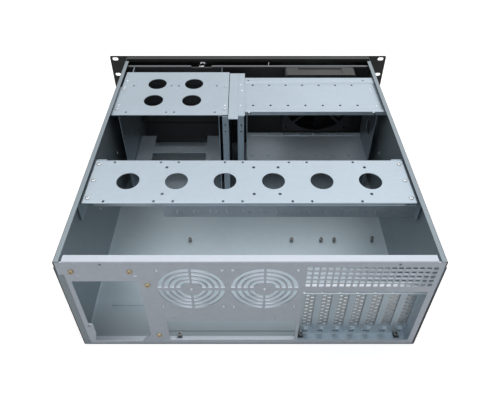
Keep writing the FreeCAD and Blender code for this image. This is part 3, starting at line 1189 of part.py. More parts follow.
def status_leds():
    lamps = []
    for z in LED_HEIGHTS:
        lens = rod(LED_RADIUS, vec(CONTROL_X, BULKHEAD_FRONT - 1.0, z), vec(CONTROL_X, BOARD_Y, z))
        base = rod(LED_RADIUS + 0.5, vec(CONTROL_X, BOARD_Y - 3.0, z), vec(CONTROL_X, BOARD_Y, z))
        lamps.append(fuse_all([lens, base]))
    return Part.makeCompound(lamps)


def usb_sockets():
    sockets = []
    for z in USB_HEIGHTS:
        shell = block(CONTROL_X - USB_WIDTH / 2, CONTROL_X + USB_WIDTH / 2, BULKHEAD_FRONT - 0.4, BOARD_Y, z - USB_HEIGHT / 2,
                      z + USB_HEIGHT / 2)
        mouth = block(CONTROL_X - USB_WIDTH / 2 + 0.5, CONTROL_X + USB_WIDTH / 2 - 0.5, BULKHEAD_FRONT - 1, BOARD_Y - 2.0,
                      z - USB_HEIGHT / 2 + 0.5, z + USB_HEIGHT / 2 - 0.5)
        tongue = block(CONTROL_X - 5.4, CONTROL_X + 5.4, BULKHEAD_FRONT + 0.8, BOARD_Y - 1.0, z - 0.1, z + 1.7)
        sockets.append(fuse_all([shell.cut(mouth), tongue]))
    return Part.makeCompound(sockets)


# ================================================================ leads
def smooth_tube(points, radius):
    """Tube along straight runs joined by tangent arcs, each as large as its two runs allow."""
    edges = []
    at = points[0]
    for i in range(1, len(points) - 1):
        back, ahead = points[i - 1] - points[i], points[i + 1] - points[i]
        shorter = min(back.Length, ahead.Length)
        turn = math.pi - back.getAngle(ahead)
        arc_radius = 0.45 * shorter / math.tan(turn / 2)
        print("lead radius %.1f" % arc_radius)
        trim = arc_radius * math.tan(turn / 2)
        start = points[i] + back.normalize() * trim
        end = points[i] + ahead.normalize() * trim
        towards = (back + ahead).normalize()
        centre = points[i] + towards * (arc_radius / math.cos(turn / 2))
        middle = centre - towards * arc_radius
        edges.append(Part.LineSegment(at, start).toShape())
        edges.append(Part.Arc(start, middle, end).toShape())
        at = end
    edges.append(Part.LineSegment(at, points[-1]).toShape())
    path = Part.Wire(edges)
    direction = points[1] - points[0]
    circle = Part.Wire([Part.makeCircle(radius, points[0], direction)])
    tube = path.makePipeShell([circle], True, False)
    length = path.Length
    print("lead volume %.1f, section times length %.1f" % (tube.Volume, math.pi * radius ** 2 * length))
    return tube


def save(name, shape):
    """Write one node, refusing a broken solid."""
    solids = shape.Solids
    if not solids or not shape.isValid():
        raise RuntimeError("bad shape: " + name)
    result = solids[0] if len(solids) == 1 else Part.makeCompound(solids)
    result.exportStep("parts/" + name + ".step")
    print("%-22s solids %2d volume %10.1f" % (name, len(solids), result.Volume))


def main():
    os.makedirs("parts", exist_ok=True)
    up, out = vec(0, 0, 1), vec(0, 1, 0)
    save("chassis_body", chassis_body())
    save("rear_panel", rear_panel())
    save("slot_frame", slot_frame())
    for index in range(SLOT_COUNT):
        save("slot_cover_%d" % (index + 1), slot_cover(index))
    save("slot_screws", screw_group(slot_screw_seats(), up, SLOT_SCREW_HEAD, 1.8, SLOT_SCREW_SHANK, 4.0))
    rear_seats = [vec(x, REAR, z) for x, z in rear_screw_seats()]
    save("rear_screws", screw_group(rear_seats, out, REAR_SCREW_HEAD, 1.8, REAR_SCREW_SHANK, 4.0))
    save("board_standoffs", board_standoffs())
    save("mid_brace", mid_brace())
    save("brace_shelf_left", brace_shelf(1))
    save("brace_shelf_right", brace_shelf(-1))
    brace_seats = [vec(x, y, TOP_LEVEL) for x, y in brace_screw_points()]
    save("brace_screws", screw_group(brace_seats, up, BRACE_SCREW_HEAD, 1.4, BRACE_SCREW_SHANK, 4.0))
    save("card_comb", card_comb())
    save("bay_cage_top", bay_cage_top())
    save("bay_wall_left", bay_wall(1))
    save("bay_wall_right", bay_wall(-1))
    save("bay_shelf", bay_shelf())
    cage_seats = [vec(x, y, TOP_LEVEL) for x, y in cage_screw_points()]
    save("cage_screws", screw_group(cage_seats, up, BRACE_SCREW_HEAD, 1.4, BRACE_SCREW_SHANK, 3.0))
    save("channel_wall_left", channel_wall(1))
    save("channel_wall_right", channel_wall(-1))
    save("channel_strip", channel_strip())
    save("channel_top", channel_top())
    save("upper_tray", upper_tray())
    save("lower_tray", lower_tray())
    save("drive_wall_left", drive_wall(1))
    save("drive_wall_right", drive_wall(-1))
    save("bulkhead", bulkhead())
    for index in range(BAY_COUNT):
        save("bay_blank_%d" % (index + 1), bay_blank(index))
    save("front_panel", front_panel())
    save("filter_frame", filter_frame())
    save("dust_filter", dust_filter())
    save("door", door())
    save("hinge_pins", hinge_pins())
    save("lock_barrel", lock_barrel())
    save("lock_nut", lock_nut())
    save("lock_plug", lock_plug())
    save("lock_cam", lock_cam())
    save("handle_left", handle(1))
    save("handle_right", handle(-1))
    save("handle_screws", screw_group(handle_screw_seats(), out, 3.4, 1.8, HANDLE_SCREW_SHANK, 8.0))
    save("front_fan_frame", front_fan_frame())
    save("front_fan_rotor", front_fan_rotor())
    save("front_fan_screws", screw_group(front_fan_screw_seats(), vec(0, -1, 0), 3.6, 1.8, 2.0, 8.0))
    save("control_board", control_board())
    switches = [switch_body(POWER_BUTTON_Z, POWER_SWITCH_SIZE), switch_body(RESET_BUTTON_Z, RESET_SWITCH_SIZE)]
    save("panel_switches", Part.makeCompound(switches))
    save("power_button", push_button(POWER_BUTTON_Z, POWER_BUTTON_RADIUS))
    save("reset_button", push_button(RESET_BUTTON_Z, RESET_BUTTON_RADIUS))
    save("status_leds", status_leds())
    save("usb_sockets", usb_sockets())


main()
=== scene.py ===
import logging
import math
from dataclasses import dataclass, field
from enum import Enum
from typing import Iterable, Sequence

import bmesh
import bpy
from mathutils import Matrix, Vector


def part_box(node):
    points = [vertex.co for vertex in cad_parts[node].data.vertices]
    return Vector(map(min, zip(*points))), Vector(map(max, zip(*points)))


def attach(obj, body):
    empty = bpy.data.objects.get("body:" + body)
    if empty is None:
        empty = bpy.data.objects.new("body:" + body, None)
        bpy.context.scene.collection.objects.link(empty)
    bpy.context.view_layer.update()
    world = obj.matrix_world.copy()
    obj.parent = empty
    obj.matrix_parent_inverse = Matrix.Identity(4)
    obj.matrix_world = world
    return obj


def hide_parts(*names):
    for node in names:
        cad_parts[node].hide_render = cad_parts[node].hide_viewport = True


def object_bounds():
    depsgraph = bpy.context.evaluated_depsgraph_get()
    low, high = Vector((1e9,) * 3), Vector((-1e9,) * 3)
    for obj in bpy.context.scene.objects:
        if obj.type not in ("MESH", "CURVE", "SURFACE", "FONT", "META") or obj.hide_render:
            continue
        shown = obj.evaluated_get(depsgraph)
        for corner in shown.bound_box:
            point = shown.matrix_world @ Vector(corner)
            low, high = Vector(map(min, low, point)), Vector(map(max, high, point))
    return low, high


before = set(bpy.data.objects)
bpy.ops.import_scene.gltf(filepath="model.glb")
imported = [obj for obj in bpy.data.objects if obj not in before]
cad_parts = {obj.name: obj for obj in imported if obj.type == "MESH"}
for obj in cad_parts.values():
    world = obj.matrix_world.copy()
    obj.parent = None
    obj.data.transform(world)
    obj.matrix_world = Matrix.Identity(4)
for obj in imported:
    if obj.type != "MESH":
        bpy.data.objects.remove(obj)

LOG = logging.getLogger("server_case")
CAD_LOW, CAD_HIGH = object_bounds()

Colour = tuple[float, float, float]
Point = tuple[float, float, float]

HALF_SHARE = 0.5            # border between painted and bare
HALF_SHEET = 0.0006         # half of the body's sheet
LID_SHEET = 0.0012          # the side walls step in by the lid's sheet
LID_STEP = 0.0105           # height of that step below the top of the walls
EDGE_BAND = 0.0003          # bare band along the top of the inner front wall
REAR_SHADE_DEPTH = 0.060          # painted shade darkens the floor over this depth towards the rear edge, for the rear panel's shadow
FLOOR_FOLD = 0.004          # above this height the body's sheet is wall, not floor
TRAY_STEP = 0.0020          # the upper tray's plate lies this far below its front strip
SAME_POINT = 1e-6           # points of a CAD mesh nearer than this are one
SEAM = 1e-7                 # and those of a turned shape

# Each point of a screw's head: share of its radius, share of its height below the top.
HEAD_PROFILE = ((1.0, 1.0), (1.0, 0.55), (0.93, 0.24), (0.74, 0.06), (0.5, 0.0))
SHANK_SHARE = 0.5           # of the head's radius
TIP_TAPER = 0.8             # of the shank's radius, over TIP_LENGTH of it
TIP_LENGTH = 0.2
RECESS_WING = 0.52          # half length of the cross, of the head's radius
RECESS_HALF = 0.105         # half width of the cross, of the head's radius
RECESS_DEPTH = 0.72         # of the head's height
RECESS_TAPER = (0.35, 0.6, 1.0)
RECESS_TURN = 0.35          # the cross against the first screw's own axes, in radians
SCREW_SPIN = 1.3            # each screw is turned this much from the one before, in radians
LIP_SPIN = 1.1

# Each point of a rivet's dome: share of its radius, share of its rise above the sheet.
DOME_PROFILE = ((0.0, -1.0), (1.0, -1.0), (1.0, 0.25), (0.8, 0.7), (0.45, 0.95), (0.0, 1.0))
DOME_STEPS = 14


class Body(Enum):
    """The moving bodies of the case."""

    CASE = "case"
    DOOR = "door"
    LOCK = "lock"
    POWER = "power_button"
    RESET = "reset_button"
    FAN = "fan_rotor"


class Slot(Enum):
    """The material slots, one named with each set of screws."""

    ZINC = "zinc_sheet"
    SCREW = "zinc_screw"
    BRASS = "brass_post"
    NICKEL = "nickel_lock"
    BLACK = "black_paint"
    PLASTIC = "black_plastic"
    GLOSS = "black_gloss"
    FOAM = "filter_foam"
    BOARD = "circuit_green"
    LENS = "lamp_lens"


# ------------------------------------------------------------------ shading
class Wire:
    """A shader value; arithmetic on it adds Math nodes."""

    def __init__(self, bench: "ShaderBench", socket: bpy.types.NodeSocket) -> None:
        """Wraps one output socket of a bench."""
        self.bench = bench
        self.socket = socket

    def _math(self, operation: str, first: object, second: object) -> "Wire":
        """Adds a Math node.

        Args:
            operation: the Math node's operation.
            first: value or wire of its first socket.
            second: value or wire of its second socket.

        Returns:
            The node's result.
        """
        return self.bench.add("ShaderNodeMath", {"operation": operation}, {0: first, 1: second}).out()

    def __add__(self, other: object) -> "Wire":
        """Sum."""
        return self._math("ADD", self, other)

    def __radd__(self, other: object) -> "Wire":
        """Sum with a number on the left."""
        return self._math("ADD", other, self)

    def __sub__(self, other: object) -> "Wire":
        """Difference."""
        return self._math("SUBTRACT", self, other)

    def __rsub__(self, other: object) -> "Wire":
        """Difference with a number on the left."""
        return self._math("SUBTRACT", other, self)

    def __mul__(self, other: object) -> "Wire":
        """Product."""
        return self._math("MULTIPLY", self, other)

    def __rmul__(self, other: object) -> "Wire":
        """Product with a number on the left."""
        return self._math("MULTIPLY", other, self)

    def over(self, limit: float) -> "Wire":
        """1 where the value is above the limit, else 0."""
        return self._math("GREATER_THAN", self, limit)

    def biggest(self, other: object) -> "Wire":
        """The larger of two values."""
        return self._math("MAXIMUM", self, other)

    def size(self) -> "Wire":
        """The value without its sign."""
        return self._math("ABSOLUTE", self, 0.0)

    def toward(self, other: object, share: object) -> "Wire":
        """The value moved toward another by a share."""
        return self + (other - self) * share


class Added:
    """A node just added to a bench."""

    def __init__(self, bench: "ShaderBench", node: bpy.types.Node) -> None:
        """Keeps the node and its bench."""
        self.bench = bench
        self.node = node

    def out(self, key: int | str = 0) -> Wire:
        """The node's output of that name or number."""
        return Wire(self.bench, self.node.outputs[key])


class ShaderBench:
    """One node tree under construction."""

    def __init__(self, tree: bpy.types.NodeTree) -> None:
        """Empties the tree.

        Args:
            tree: node tree of a material or a world.
        """
        self.tree = tree
        tree.nodes.clear()

    def add(self, kind: str, settings: dict | None = None, sockets: dict | None = None) -> Added:
        """Adds one node.

        Args:
            kind: the node's type name.
            settings: properties, set first; "stops" holds a ramp's (place, colour) pairs.
            sockets: input name or number to a value or a Wire.

        Returns:
            The added node.
        """
        node = self.tree.nodes.new(kind)
        for key, value in (settings or {}).items():
            if key == "stops":
                ramp = node.color_ramp.elements
                while len(ramp) < len(value):
                    ramp.new(1.0)
                for element, (place, colour) in zip(ramp, value):
                    element.position = place
                    element.color = (*colour, 1.0)
            else:
                setattr(node, key, value)
        for key, value in (sockets or {}).items():
            if isinstance(value, Wire):
                self.tree.links.new(value.socket, node.inputs[key])
            elif isinstance(value, tuple) and node.inputs[key].type == "RGBA":
                node.inputs[key].default_value = (*value, 1.0)
            else:
                node.inputs[key].default_value = value
        return Added(self, node)

    def place(self, scale: Point = (1.0, 1.0, 1.0), turn: Point = (0.0, 0.0, 0.0)) -> Wire:
        """Object coordinates, stretched and turned.

        Args:
            scale: factor along each axis.
            turn: Euler angles in radians.

        Returns:
            The vector.
        """
        coordinates = self.add("ShaderNodeTexCoord").out("Object")
        sockets = {"Vector": coordinates, "Scale": scale, "Rotation": turn}
        return self.add("ShaderNodeMapping", {}, sockets).out("Vector")

    def noise(self, vector: Wire, scale: float, detail: float = 2.0, roughness: float = 0.5) -> Wire:
        """Noise between about 0.3 and 0.7.

        Args:
            vector: where it is looked up.
            scale: cells per metre.
            detail: octaves.
            roughness: weight of the finer octaves.

        Returns:
            The value.
        """
        sockets = {"Vector": vector, "Scale": scale, "Detail": detail, "Roughness": roughness}
        return self.add("ShaderNodeTexNoise", {}, sockets).out("Fac")

    def spread(self, value: Wire, low: float, high: float,
               to_low: float = 0.0, to_high: float = 1.0) -> Wire:
        """Maps a range of values to another, clamped.

        Args:
            value: what is mapped.
            low: value that becomes to_low.
            high: value that becomes to_high.
            to_low: lower result.
            to_high: upper result.

        Returns:
            The mapped value.
        """
        sockets = {"Value": value, "From Min": low, "From Max": high, "To Min": to_low, "To Max": to_high}
        return self.add("ShaderNodeMapRange", {"clamp": True}, sockets).out("Result")

    def mix(self, first: object, second: object, share: object) -> Wire:
        """Blends two colours.

        Args:
            first: colour at share 0.
            second: colour at share 1.
            share: the blend.

        Returns:
            The colour.
        """
        sockets = {0: share, 6: first, 7: second}
        return self.add("ShaderNodeMix", {"data_type": "RGBA"}, sockets).out(2)

    def bump(self, height: Wire, distance: float, strength: float = 1.0) -> Wire:
        """Normal tilted by a height.

        Args:
            height: the height, 0 to 1.
            distance: metres that a height of 1 stands for.
            strength: share of the effect.

        Returns:
            The normal.
        """
        sockets = {"Height": height, "Distance": distance, "Strength": strength}
        return self.add("ShaderNodeBump", {}, sockets).out("Normal")


@dataclass(frozen=True)
class Finish:
    """Base of every finish.

    Attributes:
        name: material name.
        colour: main colour, linear.
        metallic: 0 for paint and plastic, 1 for bare metal.
        roughness: mean roughness.
        grain: features of the fine surface texture per metre.
        relief: depth of the fine surface texture in metres.
    """

    name: str
    colour: Colour
    metallic: float = 0.0
    roughness: float = 0.5
    grain: float = 1500.0
    relief: float = 0.00002

    def shaded(self, amount: float) -> Colour:
        """The main colour scaled by an amount."""
        return tuple(min(1.0, part * amount) for part in self.colour)

    def surface(self, bench: ShaderBench) -> dict:
        """Sockets of the shader that give this finish.

        Args:
            bench: the tree they are made in.

        Returns:
            Input name to value or wire.
        """
        where = bench.place()
        cloud = bench.noise(where, 14.0, 3.0)
        fine = bench.noise(where, self.grain, 2.0)
        return {
            "Base Color": bench.mix(self.shaded(0.9), self.shaded(1.1), bench.spread(cloud, 0.35, 0.65)),
            "Roughness": bench.spread(cloud, 0.3, 0.7, self.roughness - 0.05, self.roughness + 0.05),
            "Metallic": self.metallic,
            "Normal": bench.bump(fine, self.relief),
        }

    def material(self) -> bpy.types.Material:
        """The finish as a material, made once."""
        made = bpy.data.materials.get(self.name)
        if made is not None:
            return made
        made = bpy.data.materials.new(self.name)
        made.use_nodes = True
        bench = ShaderBench(made.node_tree)
        shader = bench.add("ShaderNodeBsdfPrincipled", {}, self.surface(bench))
        bench.add("ShaderNodeOutputMaterial", {}, {"Surface": shader.out("BSDF")})
        return made


@dataclass(frozen=True)
class PlatedSheet(Finish):
    """Zinc-plated steel sheet: faint crystal patches, rolling lines, smudges and a few scuffs.

    Attributes:
        rolling: axis along which the mill lines run, 0 to 2.
        patch: contrast of the crystal patches.
        wear: how strongly smudges show.
    """

    rolling: int = 0
    patch: float = 0.045
    wear: float = 0.6

    def surface(self, bench: ShaderBench) -> dict:
        """Sockets of the shader that give this finish.

        Args:
            bench: the tree they are made in.

        Returns:
            Input name to value or wire.
        """
        where = bench.place()
        drawn = [420.0, 420.0, 420.0]
        drawn[self.rolling] = 9.0
        lines = bench.noise(bench.place(tuple(drawn)), 1.0, 3.0, 0.65)
        cells = bench.add("ShaderNodeTexVoronoi", {"feature": "F1"}, {"Vector": where, "Scale": 170.0})
        tone = bench.add("ShaderNodeSeparateColor", {}, {"Color": cells.out("Color")}).out("Red")
        cloud = bench.noise(where, 7.0, 4.0, 0.6)
        smudge = bench.spread(bench.noise(where, 22.0, 5.0, 0.7), 0.58, 0.74) * self.wear
        scratched = bench.place((30.0, 260.0, 90.0), (0.3, 0.2, 0.6))
        scuff = bench.spread(bench.noise(scratched, 1.0, 2.0), 0.69, 0.74)
        share = 0.5 + (tone - 0.5) * self.patch * 8.0 + (cloud - 0.5) * 0.8 + (lines - 0.5) * 0.35
        base = bench.mix(self.shaded(0.92), self.shaded(1.07), share)
        base = bench.mix(base, self.shaded(0.86), smudge * 0.35)
        base = bench.mix(base, self.shaded(1.16), scuff * 0.3)
        rough = self.roughness + (tone - 0.5) * 0.04 + (cloud - 0.5) * 0.08 + smudge * 0.05 - scuff * 0.04
        fine = bench.noise(where, self.grain, 2.0)
        return {
            "Base Color": base,
            "Roughness": rough,
            "Metallic": self.metallic,
            "Normal": bench.bump(fine * 0.5 + lines * 0.5, self.relief),
        }


@dataclass(frozen=True)
class PowderCoat(Finish):
    """Black powder coat: orange-peel texture, faint dust and rubbed spots."""

    def surface(self, bench: ShaderBench) -> dict:
        """Sockets of the shader that give this finish.

        Args:
            bench: the tree they are made in.

        Returns:
            Input name to value or wire.
        """
        where = bench.place()
        peel = bench.noise(where, self.grain, 3.0, 0.6)
        dust = bench.spread(bench.noise(where, 40.0, 5.0, 0.75), 0.5, 0.75)
        rub = bench.spread(bench.noise(where, 9.0, 3.0, 0.6), 0.55, 0.7)
        base = bench.mix(self.colour, self.shaded(1.9), dust * 0.5)
        return {
            "Base Color": base,
            "Roughness": self.roughness + (peel - 0.5) * 0.2 - rub * 0.08 + dust * 0.08,
            "Metallic": self.metallic,
            "Normal": bench.bump(peel, self.relief),
        }


class Coat(Enum):
    """Which part of a plated sheet is painted as well."""

    OUTER_SIDES = "outer faces of the side walls"
    BELOW_EDGE = "all but the uppermost edge"


@dataclass(frozen=True)
class PartPainted(PlatedSheet):
    """Plated sheet with black powder coat on part of it and painted shade on its walls, flanges and rear
    strip.

    Attributes:
        coat: the painted part.
        paint: the finish of the painted part.
        node: CAD node whose box places the border.
        painted_shade_tone: tone of the painted shade on the walls, flanges and rear strip against the open
            floor.
    """

    coat: Coat = Coat.OUTER_SIDES
    paint: Finish = Finish("plain_black", (0.02, 0.02, 0.02))
    node: str = "chassis_body"
    # tone of the painted shade on walls, flanges and rear strip; 1 paints none
    painted_shade_tone: float = 1.0

    def mask(self, bench: ShaderBench) -> Wire:
        """1 where the sheet is painted.

        Args:
            bench: the tree it is made in.

        Returns:
            The mask.
        """
        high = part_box(self.node)[1]
        axes = bench.add("ShaderNodeSeparateXYZ", {}, {"Vector": bench.place()})
        height = axes.out("Z")
        if self.coat is Coat.BELOW_EDGE:
            return (high.z - EDGE_BAND - height).over(0.0)
        side = axes.out("X").size()
        above_step = height.over(high.z - LID_STEP)
        end = axes.out("Y").over(high.y - HALF_SHEET / 2)
        outer = side.over(high.x - HALF_SHEET) + above_step * side.over(high.x - LID_SHEET - HALF_SHEET)
        ends = side.over(high.x - LID_SHEET) + above_step * side.over(high.x - 2 * LID_SHEET)
        return outer.biggest(ends * end).over(HALF_SHARE)

    def painted_shade_share(self, bench: ShaderBench) -> Wire:
        """Share of painted shade: 1 on the walls and flanges and towards the rear edge, 0 on the open floor.

        Args:
            bench: the tree it is made in.

        Returns:
            The share.
        """
        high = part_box(self.node)[1]
        axes = bench.add("ShaderNodeSeparateXYZ", {}, {"Vector": bench.place()})
        rear = bench.spread(axes.out("Y"), high.y - REAR_SHADE_DEPTH, high.y - REAR_SHADE_DEPTH / 4)
        wall = axes.out("Z").over(FLOOR_FOLD)
        return wall.biggest(rear)

    def surface(self, bench: ShaderBench) -> dict:
        """Sockets of the shader that give this finish.

        Args:
            bench: the tree they are made in.

        Returns:
            Input name to value or wire.
        """
        mask = self.mask(bench)
        bare, painted = super().surface(bench), self.paint.surface(bench)
        # painted shade: walls, flanges and the strip by the rear edge are darkened to stand in for the shade
        # they lie in
        metal = bench.mix(bare["Base Color"], self.shaded(self.painted_shade_tone), self.painted_shade_share(bench))
        return {
            "Base Color": bench.mix(metal, painted["Base Color"], mask),
            "Roughness": bare["Roughness"].toward(painted["Roughness"], mask),
            "Metallic": self.metallic - mask * self.metallic,
            "Normal": bare["Normal"],
        }


@dataclass(frozen=True)
class OpenFoam(Finish):
    """Reticulated filter foam: dark open cells with paler struts."""

    def surface(self, bench: ShaderBench) -> dict:
        """Sockets of the shader that give this finish.

        Args:
            bench: the tree they are made in.

        Returns:
            Input name to value or wire.
        """
        where = bench.place()
        sockets = {"Vector": where, "Scale": self.grain}
        cells = bench.add("ShaderNodeTexVoronoi", {"feature": "DISTANCE_TO_EDGE"}, sockets)
        strut = bench.spread(cells.out("Distance"), 0.04, 0.2, 1.0, 0.0)
        return {
            "Base Color": bench.mix(self.shaded(0.35), self.shaded(1.7), strut),
            "Roughness": self.roughness + strut * 0.08,
            "Metallic": self.metallic,
            "Normal": bench.bump(strut, self.relief),
        }


@dataclass(frozen=True)
class Lacquered(Finish):
    """Circuit board: lacquer over faint copper tracks.

    Attributes:
        track: colour of the tracks under the lacquer.
    """

    track: Colour = (0.09, 0.30, 0.12)

    def surface(self, bench: ShaderBench) -> dict:
        """Sockets of the shader that give this finish.

        Args:
            bench: the tree they are made in.

        Returns:
            Input name to value or wire.
        """
        where = bench.place()
        brick = bench.add("ShaderNodeTexBrick", {"offset": 0.35}, {
            "Vector": bench.place((1.0, 1.0, 1.0), (math.pi / 2, 0.0, 0.0)), "Scale": self.grain,
            "Mortar Size": 0.03, "Color1": (0.0, 0.0, 0.0), "Color2": (0.0, 0.0, 0.0),
            "Mortar": (1.0, 1.0, 1.0)})
        tracks = bench.add("ShaderNodeSeparateColor", {}, {"Color": brick.out("Color")}).out("Red")
        cloud = bench.noise(where, 90.0, 3.0)
        lacquer = bench.mix(self.shaded(0.85), self.shaded(1.15), cloud)
        return {
            "Base Color": bench.mix(lacquer, self.track, tracks * 0.7),
            "Roughness": self.roughness + (cloud - 0.5) * 0.1,
            "Metallic": self.metallic,
            "Normal": bench.bump(tracks, self.relief),
        }


PAINT = PowderCoat("black_powder_coat", (0.009, 0.0093, 0.0100), 0.0, 0.50, 2400.0, 0.00005)
# the body's walls, flanges and rear floor strip take painted shade at half the zinc's tone
BODY = PartPainted("zinc_body_black_outside", (0.50, 0.59, 0.65), 0.72, 0.45, 2600.0, 0.000004,
                   rolling=0, patch=0.03, wear=0.4, coat=Coat.OUTER_SIDES, paint=PAINT,
                   node="chassis_body", painted_shade_tone=0.50)
WALL = PartPainted("black_wall_bare_edge", (0.16, 0.17, 0.18), 0.9, 0.45, 2600.0, 0.000008, 0,
                   coat=Coat.BELOW_EDGE, paint=PAINT, node="bulkhead")
ZINC = PlatedSheet("zinc_inner_sheet", (0.46, 0.54, 0.60), 0.78, 0.42, 2600.0, 0.000006, 0)
ZINC_REAR = PlatedSheet("zinc_rear_panel", (0.45, 0.49, 0.55), 0.80, 0.40, 2600.0, 0.000008, 0)
ZINC_TOP = PlatedSheet("zinc_top_plates", (0.40, 0.47, 0.53), 0.80, 0.40, 2600.0, 0.000008, 0, 0.03)
# painted shade: a darker copy of the zinc sheet for the upright plates, standing in for the shade on their
# faces
ZINC_SIDE_PAINTED_SHADE = PlatedSheet("zinc_side_plates_painted_shade", (0.33, 0.39, 0.44), 0.85, 0.34, 2600.0, 0.000006, 1)
ZINC_COVER = PlatedSheet("zinc_slot_covers", (0.43, 0.46, 0.48), 0.88, 0.30, 2600.0, 0.000008, 2)
SCREW = Finish("zinc_screws", (0.50, 0.53, 0.55), 1.0, 0.26, 3000.0, 0.000006)
YELLOW = Finish("yellow_zinc_screws", (0.46, 0.38, 0.24), 1.0, 0.24, 3000.0, 0.000006)
RIVET = Finish("zinc_rivets", (0.62, 0.68, 0.72), 1.0, 0.20, 3000.0, 0.000004)
POSTS = Finish("steel_posts", (0.30, 0.30, 0.29), 0.9, 0.40, 3000.0, 0.000006)
NICKEL = Finish("nickel_lock", (0.60, 0.58, 0.54), 1.0, 0.22, 3000.0, 0.000004)
PLASTIC = Finish("black_moulded_plastic", (0.012, 0.0125, 0.0135), 0.0, 0.42, 1800.0, 0.00003)
GLOSS = Finish("black_button_plastic", (0.012, 0.0125, 0.0135), 0.0, 0.24, 1800.0, 0.00001)
FOAM = OpenFoam("filter_foam", (0.007, 0.0075, 0.008), 0.0, 0.85, 700.0, 0.0006)
BOARD = Lacquered("board_lacquer", (0.008, 0.014, 0.010), 0.0, 0.40, 260.0, 0.00003,
                  track=(0.02, 0.035, 0.024))
LENS = Finish("lamp_lenses", (0.30, 0.42, 0.30), 0.0, 0.2, 1200.0, 0.00001)

NODE_FINISH: dict[Finish, tuple[str, ...]] = {
    BODY: ("chassis_body",),
    WALL: ("bulkhead",),
    ZINC: ("slot_frame", "bay_shelf", "lower_tray"),
    ZINC_REAR: ("rear_panel",),
    ZINC_TOP: ("mid_brace", "bay_cage_top", "upper_tray", "channel_top", "channel_strip", "card_comb"),
    ZINC_SIDE_PAINTED_SHADE: ("brace_shelf_left", "brace_shelf_right", "bay_wall_left", "bay_wall_right",
                "channel_wall_left", "channel_wall_right", "drive_wall_left", "drive_wall_right"),
    ZINC_COVER: tuple(f"slot_cover_{number}" for number in range(1, 8)),
    SCREW: ("slot_screws", "brace_screws", "cage_screws", "front_fan_screws",
            "hinge_pins", "usb_sockets", "lock_nut"),
    YELLOW: ("rear_screws",),
    POSTS: ("board_standoffs",),
    NICKEL: ("lock_barrel", "lock_plug", "lock_cam"),
    PAINT: ("front_panel", "door", "handle_left", "handle_right", "handle_screws",
            "bay_blank_1", "bay_blank_2", "bay_blank_3", "filter_frame"),
    PLASTIC: ("front_fan_frame", "front_fan_rotor", "panel_switches"),
    GLOSS: ("power_button", "reset_button"),
    FOAM: ("dust_filter",),
    BOARD: ("control_board",),
    LENS: ("status_leds",),
}


def dress_nodes() -> None:
    """Gives every CAD node its finish."""
    for finish, names in NODE_FINISH.items():
        material = finish.material()
        for name in names:
            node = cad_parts[name]
            if not node.material_slots:
                node.data.materials.append(material)
            for entry in node.material_slots:
                entry.material = material
        LOG.info("finish %s on %d nodes", finish.name, len(names))


# ------------------------------------------------------------------ meshes
def islands(node: str) -> list[tuple[Vector, Vector]]:
    """Boxes of the separate solids in one CAD node.

    Args:
        node: the node's name.

    Returns:
        Lowest and highest corner of each, in order of place.
    """
    copy = bmesh.new()
    copy.from_mesh(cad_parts[node].data)
    bmesh.ops.remove_doubles(copy, verts=copy.verts, dist=SAME_POINT)
    seen: set[bmesh.types.BMVert] = set()
    boxes = []
    for seed in copy.verts:
        if seed in seen:
            continue
        seen.add(seed)
        group, queue = [], [seed]
        while queue:
            vertex = queue.pop()
            group.append(vertex.co.copy())
            for edge in vertex.link_edges:
                other = edge.other_vert(vertex)
                if other not in seen:
                    seen.add(other)
                    queue.append(other)
        boxes.append((Vector(map(min, *group)), Vector(map(max, *group))))
    copy.free()
    return sorted(boxes, key=lambda box: tuple(round(part, 4) for part in box[0]))


def piece(name: str, mesh: bpy.types.Mesh, body: Body, finish: Finish) -> bpy.types.Object:
    """Makes one object of a finished mesh and lets it ride.

    Args:
        name: the piece's name.
        mesh: its mesh, in place.
        body: the body that it rides on.
        finish: what it is dressed with.

    Returns:
        The object.
    """
    mesh.name = name
    made = bpy.data.objects.new(name, mesh)
    bpy.context.scene.collection.objects.link(made)
    mesh.materials.clear()
    mesh.materials.append(finish.material())
    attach(made, body.value)
    LOG.info("piece %s: %d faces", name, len(mesh.polygons))
    return made


def mesh_of(bm: bmesh.types.BMesh, name: str, smooth_angle: float = 0.6) -> bpy.types.Mesh:
    """Ends a bmesh as a mesh with outward faces, smooth between flat creases.

    Args:
        bm: what is ended; it is freed.
        name: the mesh's name.
        smooth_angle: steeper edges than this stay sharp, in radians.

    Returns:
        The mesh.
    """
    bmesh.ops.recalc_face_normals(bm, faces=bm.faces)
    for face in bm.faces:
        face.smooth = True
    for edge in bm.edges:
        edge.smooth = len(edge.link_faces) == 2 and edge.calc_face_angle(0.0) < smooth_angle
    mesh = bpy.data.meshes.new(name)
    bm.to_mesh(mesh)
    bm.free()
    return mesh


def turned(profile: Sequence[tuple[float, float]], steps: int) -> bmesh.types.BMesh:
    """Spins a profile round Z.

    Args:
        profile: (radius, height) points; the first and last lie on the axis.
        steps: faces round the axis.

    Returns:
        The closed shape.
    """
    bm = bmesh.new()
    verts = [bm.verts.new((radius, 0.0, height)) for radius, height in profile]
    edges = [bm.edges.new(pair) for pair in zip(verts, verts[1:])]
    bmesh.ops.spin(bm, geom=verts + edges, cent=(0.0, 0.0, 0.0), axis=(0.0, 0.0, 1.0),
                   angle=math.tau, steps=steps, use_merge=True, use_duplicate=False)
    bmesh.ops.remove_doubles(bm, verts=bm.verts, dist=SEAM)
    return bm


def stamp(bm: bmesh.types.BMesh, mesh: bpy.types.Mesh, placed: Matrix) -> None:
    """Adds a moved copy of a mesh to a bmesh.

    Args:
        bm: what it is added to.
        mesh: what is copied.
        placed: where the copy goes.
    """
    before = len(bm.verts)
    bm.from_mesh(mesh)
    bm.verts.ensure_lookup_table()
    bmesh.ops.transform(bm, matrix=placed, verts=bm.verts[before:])


